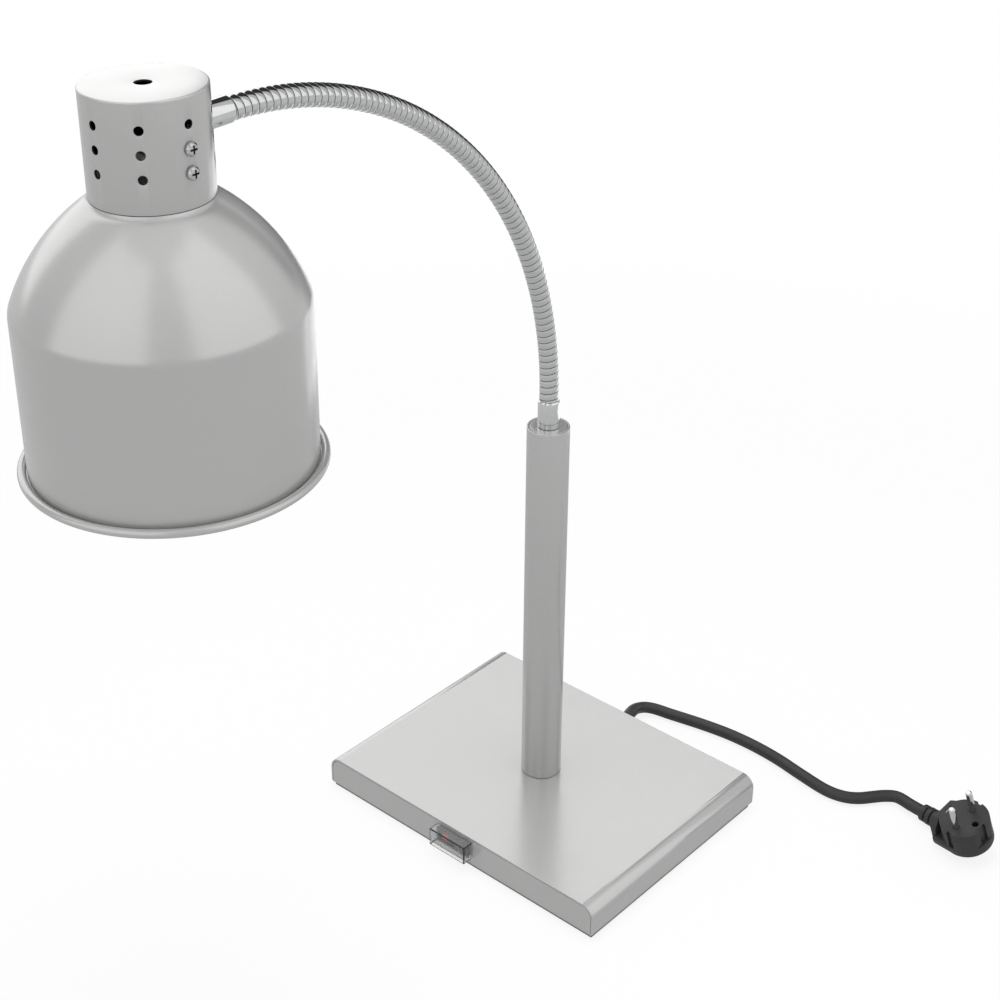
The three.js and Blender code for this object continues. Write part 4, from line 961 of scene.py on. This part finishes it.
# %% Plug outlet and face
outlet = block((-OUTLET_X, -15.4, -6.5), (-OUTLET_X + 5, 15.4, 13))
pick(outlet, "EDGE", lambda m, way: abs(way.x) > 0.9 and m.z > 5)
bevel(6, 1)
done()
soften(outlet, 0.7, 3)
FACE_R, FACE_FLAT, FACE_TOP, PIN_Y, PIN_R = 18.2, 16, 16, 9.5, 2.4
face = rod(FACE_R, -6.5, FACE_TOP, sides=96)
for side in (-1, 1):
    settle(face)
    bpy.ops.object.mode_set(mode="EDIT")
    bpy.ops.mesh.select_all(action="SELECT")
    bpy.ops.mesh.bisect(plane_co=(side * FACE_FLAT * MM, 0, 0), plane_no=(side, 0, 0), use_fill=True,
                        clear_outer=True)
done()
soften(face, 0.5, 3)
for tool in [block((-20, -3.5, 0.3), (-14.2, 3.5, 17)), block((14.2, -3.5, 0.3), (20, 3.5, 17)),
             block((-2, -20, 0.3), (2, -16.4, 17)), block((-2, 16.4, 0.3), (2, 20, 17)),
             rod(2.5, 4, 17, 10, 0, 32),
             rod(2.55, 6.7, 17, 0, -PIN_Y, 32), rod(2.55, 6.7, 17, 0, PIN_Y, 32)]:
    carve(face, tool)
carve(housing, face, "UNION")
carve(housing, outlet, "UNION")
place(housing, plug_matrix)
plug = fit(housing, "plug_moulding", "base", "black_rubber", black_rubber, "plug_body")

# %% [markdown]
# The pins, the earth strip and the ribbed relief are other materials or mouldings, so they stay pieces
# of their own. The relief is a lathe outline of equal ribs that get thinner towards the cord.

# %% Pins, earth strip and strain relief
for number, y in ((1, -PIN_Y), (2, PIN_Y)):
    pin = spun(rounded([(0, 7), (PIN_R, 7), (PIN_R, 35, 1), (0, 35)]), 40)
    place(pin, plug_matrix @ shift(0, y, 0))
    fit(pin, f"mains_pin_{number}", "base", "bright_chrome", bright_chrome,
                    f"plug_pin_{number}")
strip = block((-16, -3.2, 0.6), (-14.5, 3.2, 14))
soften(strip, 0.25)
place(strip, plug_matrix)
fit(strip, "earth_strip", "base", "bright_chrome", bright_chrome, "plug_earth_clip")
RIBS = 4
relief_line = [(0, 0), (6.2, 0)]
for i in range(RIBS):
    foot, radius = i * RELIEF / RIBS, 7.6 - 1.2 * (i + 0.5) / RIBS
    relief_line += [(radius - 1.3, foot + 0.5), (radius, foot + 0.9, 0.3),
                    (radius, foot + RELIEF / RIBS - 0.9, 0.3), (radius - 1.3, foot + RELIEF / RIBS - 0.5)]
relief_line += [(0, RELIEF)]
relief = place(spun(rounded(relief_line, 3), 48),
               plug_matrix @ shift(-OUTLET_X - 0.3, 0, OUTLET_Z) @ turn(-90, "Y"))
fit(relief, "cord_relief", "base", "black_rubber", black_rubber, "plug_relief")

# %% [markdown]
# ## The pieces that stay as they are
# Everything inside the base, the pole and the cap keeps its solid and gets the finish of its material.

# %% Finishes on the solids
kept = {plain_steel: ["bottom_screw_1", "bottom_screw_2", "bottom_screw_3", "bottom_screw_4",
                      "pole_foot_plug", "pole_washer", "pole_nut", "ferrule_lower_nut",
                      "ferrule_upper_nut", "holder_bracket", "holder_nipple", "bulb_base"],
        raw_iron: ["ballast_plate"],
        holder_brass: ["holder_shell"],
        black_plastic: ["gland_nut"],
        black_rubber: ["cord_inner_end"],
        grey_plastic: ["terminal_block"],
        brown_cover: ["wire_live", "wire_switched"],
        blue_cover: ["wire_neutral"],
        earth_cover: ["wire_earth"],
        glass_sleeve: ["lamp_lead"]}
for surface, names in kept.items():
    for name in names:
        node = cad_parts[name]
        node.data.materials.clear()
        node.data.materials.append(surface)
print(sum(len(names) for names in kept.values()), "solids keep their form")
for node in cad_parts.values():
    if node.hide_render:
        node.data.materials.clear()
        node.data.materials.append(painted_silver)

# %% [markdown]
# ## Floor and light
# The lamp stands on a pale floor that is nearly white to the camera and keeps a soft shadow. Gloss is
# another matter: paint and chrome show what stands round them. So reflections see a room of their own,
# with bright boards on two sides, a dimmer gap between them, and a dark zone behind the lamp that gives
# the chrome its black edge. It is drawn with small node trees, and these helpers keep them short.

# %% Helpers for node trees
def bare_tree(owner):
    """Switches an owner to nodes and empties its tree."""
    owner.use_nodes = True
    owner.node_tree.nodes.clear()
    return owner.node_tree


def maths(tree, kind, first, second):
    """A Math node; each input is a number or another node's output."""
    node = tree.nodes.new("ShaderNodeMath")
    node.operation = kind
    for socket, value in zip(node.inputs, (first, second)):
        if isinstance(value, (int, float)):
            socket.default_value = value
        else:
            tree.links.new(value, socket)
    return node.outputs[0]


def dotted(tree, vector, way):
    """How far a vector reaches along a direction."""
    node = tree.nodes.new("ShaderNodeVectorMath")
    node.operation = "DOT_PRODUCT"
    node.inputs[1].default_value = way
    tree.links.new(vector, node.inputs[0])
    return node.outputs["Value"]


def eased(tree, value, low, high):
    """Goes softly from 0 at low to 1 at high."""
    node = tree.nodes.new("ShaderNodeMapRange")
    node.interpolation_type = "SMOOTHSTEP"
    node.inputs["From Min"].default_value = low
    node.inputs["From Max"].default_value = high
    tree.links.new(value, node.inputs["Value"])
    return node.outputs["Result"]


def ramp(tree, value, stops):
    """A grey ramp from (position, brightness) stops."""
    node = tree.nodes.new("ShaderNodeValToRGB")
    shades = node.color_ramp.elements
    while len(shades) < len(stops):
        shades.new(0.5)
    for shade, (position, level) in zip(shades, stops):
        shade.position = position
        shade.color = (level, level, level, 1)
    tree.links.new(value, node.inputs["Fac"])
    return node.outputs["Color"]


def bearing(tree, way):
    """The compass bearing of a direction, from 0 at -180 degrees to 1 at +180."""
    split = tree.nodes.new("ShaderNodeSeparateXYZ")
    tree.links.new(way, split.inputs[0])
    angle = maths(tree, "ARCTAN2", split.outputs["Y"], split.outputs["X"])
    return maths(tree, "ADD", maths(tree, "DIVIDE", angle, 2 * math.pi), 0.5)


def grey_mix(tree, factor, first, level):
    """Turns one colour into a level of grey where the factor is 1."""
    node = tree.nodes.new("ShaderNodeMix")
    node.data_type = "RGBA"
    tree.links.new(factor, node.inputs["Factor"])
    tree.links.new(first, node.inputs["A"])
    node.inputs["B"].default_value = (level, level, level, 1)
    return node.outputs["Result"]


def mixed(tree, factor, first, second):
    """A Mix Shader between two shaders."""
    node = tree.nodes.new("ShaderNodeMixShader")
    for socket, value in zip(node.inputs, (factor, first, second)):
        tree.links.new(value, socket)
    return node.outputs["Shader"]


def shown(tree, shader, kind="ShaderNodeOutputMaterial"):
    """Ends a tree in its output."""
    tree.links.new(shader, tree.nodes.new(kind).inputs["Surface"])


# %% [markdown]
# The floor gives three answers. The camera mostly sees white, with a share of the matt surface left so
# that the lamp's shadow shows. Bounced light meets a matt floor. Reflections meet a grey table that is
# darker near the lamp and goes dark far behind it.

# %% Floor
TABLE_NEAR, TABLE_FAR, DARK_FROM, DARK_TO = 0.58, 0.7, 1.1, 1.5
bpy.ops.mesh.primitive_plane_add(size=40, location=(0, 0, -0.0004))
floor = bpy.context.object
floor.name = "floor"
pale = bpy.data.materials.new("pale_floor")
tree = bare_tree(pale)
rays = tree.nodes.new("ShaderNodeLightPath").outputs
spot = tree.nodes.new("ShaderNodeTexCoord").outputs["Object"]
matt = tree.nodes.new("ShaderNodeBsdfDiffuse")
matt.inputs["Color"].default_value = (0.9, 0.9, 0.9, 1)
white = tree.nodes.new("ShaderNodeEmission")
table = tree.nodes.new("ShaderNodeEmission")
measure = tree.nodes.new("ShaderNodeVectorMath")
measure.operation = "LENGTH"
tree.links.new(spot, measure.inputs[0])
away = measure.outputs["Value"]
greys = ramp(tree, maths(tree, "DIVIDE", away, 2), [(0.2, TABLE_NEAR), (0.45, TABLE_FAR)])
tree.links.new(greys, table.inputs["Color"])
behind = ramp(tree, bearing(tree, spot), [(0.76, 0), (0.785, 1), (0.895, 1), (0.905, 0)])
dark = maths(tree, "MULTIPLY", eased(tree, away, DARK_FROM, DARK_TO),
             maths(tree, "MULTIPLY", behind, 0.95))
tree.links.new(maths(tree, "SUBTRACT", 1, dark), table.inputs["Strength"])
plain_view = maths(tree, "MAXIMUM", rays["Is Camera Ray"], rays["Is Transmission Ray"])
lift = maths(tree, "ADD", 0.86, maths(tree, "MULTIPLY", eased(tree, away, 0.4, 1.3), 0.14))
seen = mixed(tree, maths(tree, "MULTIPLY", plain_view, lift), matt.outputs["BSDF"],
             white.outputs["Emission"])
shown(tree, mixed(tree, rays["Is Glossy Ray"], seen, table.outputs["Emission"]))
floor.data.materials.append(pale)
print("floor goes dark from", DARK_FROM, "to", DARK_TO, "m behind the lamp")

# %% [markdown]
# In a studio, a white card held low behind the base would brighten its flat top. Here it is a glowing
# sheet that only reflections can see: it lights nothing, and the camera looks through it.

# %% The white card behind the base
CARD_GLOW = 1.35
bpy.ops.mesh.primitive_plane_add(size=1, location=(-0.23, 0.275, 0.3))
card = bpy.context.object
card.name = "white_card"
card.scale = (0.56, 0.45, 1)
bpy.ops.object.transform_apply(location=True, rotation=True, scale=True)
card.visible_camera = card.visible_diffuse = card.visible_shadow = card.visible_transmission = False
bright = bpy.data.materials.new("card_white")
tree = bare_tree(bright)
sheet = tree.nodes.new("ShaderNodeEmission")
sheet.inputs["Strength"].default_value = CARD_GLOW
shown(tree, sheet.outputs["Emission"])
card.data.materials.append(bright)
print("card glows", CARD_GLOW)

# %% [markdown]
# The room is drawn by compass bearing: each pair below is a bearing in degrees and its brightness, and a
# ramp joins them. Near the zenith one even level takes over. The camera sees plain white behind the
# lamp, and all other rays meet even air that fills the shadows.

# %% World
world = bpy.data.worlds.new("studio")
bpy.context.scene.world = world
tree = bare_tree(world)
rays = tree.nodes.new("ShaderNodeLightPath").outputs
way = tree.nodes.new("ShaderNodeTexCoord").outputs["Generated"]
backdrop, air, room = (tree.nodes.new("ShaderNodeBackground") for _ in range(3))
backdrop.inputs["Color"].default_value = (1, 1, 1, 1)
air.inputs["Color"].default_value = (0.56, 0.56, 0.56, 1)
BOARD, GAP, DIM, BLACK, BRIGHTEST = 1.14, 0.7, 0.62, 0.04, 2
sides = [(-180, 1.5), (-170, 1.5), (-163, DIM), (-131, DIM), (-126, BOARD), (-54, BOARD), (-49, GAP),
         (-19, GAP), (-14, BOARD), (52, BOARD), (58, DIM), (86, DIM), (93, BLACK), (136, BLACK),
         (138, 1.6), (180, 1.5)]
stops = [(angle / 360 + 0.5, level / BRIGHTEST) for angle, level in sides]
around = ramp(tree, bearing(tree, way), stops)
height = dotted(tree, way, (0, 0, 1))
upward = grey_mix(tree, eased(tree, height, 0.9, 0.935), around, DIM / BRIGHTEST)
tree.links.new(upward, room.inputs["Color"])
room.inputs["Strength"].default_value = BRIGHTEST
plain_view = maths(tree, "MAXIMUM", rays["Is Camera Ray"], rays["Is Transmission Ray"])
seen = mixed(tree, plain_view, air.outputs["Background"], backdrop.outputs["Background"])
shown(tree, mixed(tree, rays["Is Glossy Ray"], seen, room.outputs["Background"]), "ShaderNodeOutputWorld")
print("room drawn with", len(sides), "bearings")

# %% [markdown]
# Three soft lamps shape the paint: a wide one overhead and a faint one on each side. They are hidden
# from the camera and from reflections, where they would draw hard squares on the dome.

# %% Lamps
def softbox(name, where, aim, size, power):
    """A square area lamp that faces a point."""
    data = bpy.data.lights.new(name, "AREA")
    data.shape = "RECTANGLE"
    data.size, data.size_y = size
    data.energy = power
    lamp = bpy.data.objects.new(name, data)
    bpy.context.scene.collection.objects.link(lamp)
    lamp.location = where
    lamp.rotation_euler = (Vector(aim) - Vector(where)).to_track_quat("-Z", "Y").to_euler()
    lamp.visible_camera = lamp.visible_glossy = False
    print(name, "lamp of", power, "W")


softbox("overhead", (0, -0.1, 1.9), (0, -0.1, 0), (1.2, 1.2), 20)
softbox("left", (0, -1.5, 1.3), (0, -0.3, 0.5), (1.2, 1.0), 1.5)
softbox("right", (1.1, 0.05, 1.3), (0, -0.3, 0.5), (1.2, 1.0), 1.5)

# %% [markdown]
# ## The last look
# The Standard view keeps white as white.

# %% Look
scene = bpy.context.scene
scene.view_settings.view_transform = "Standard"
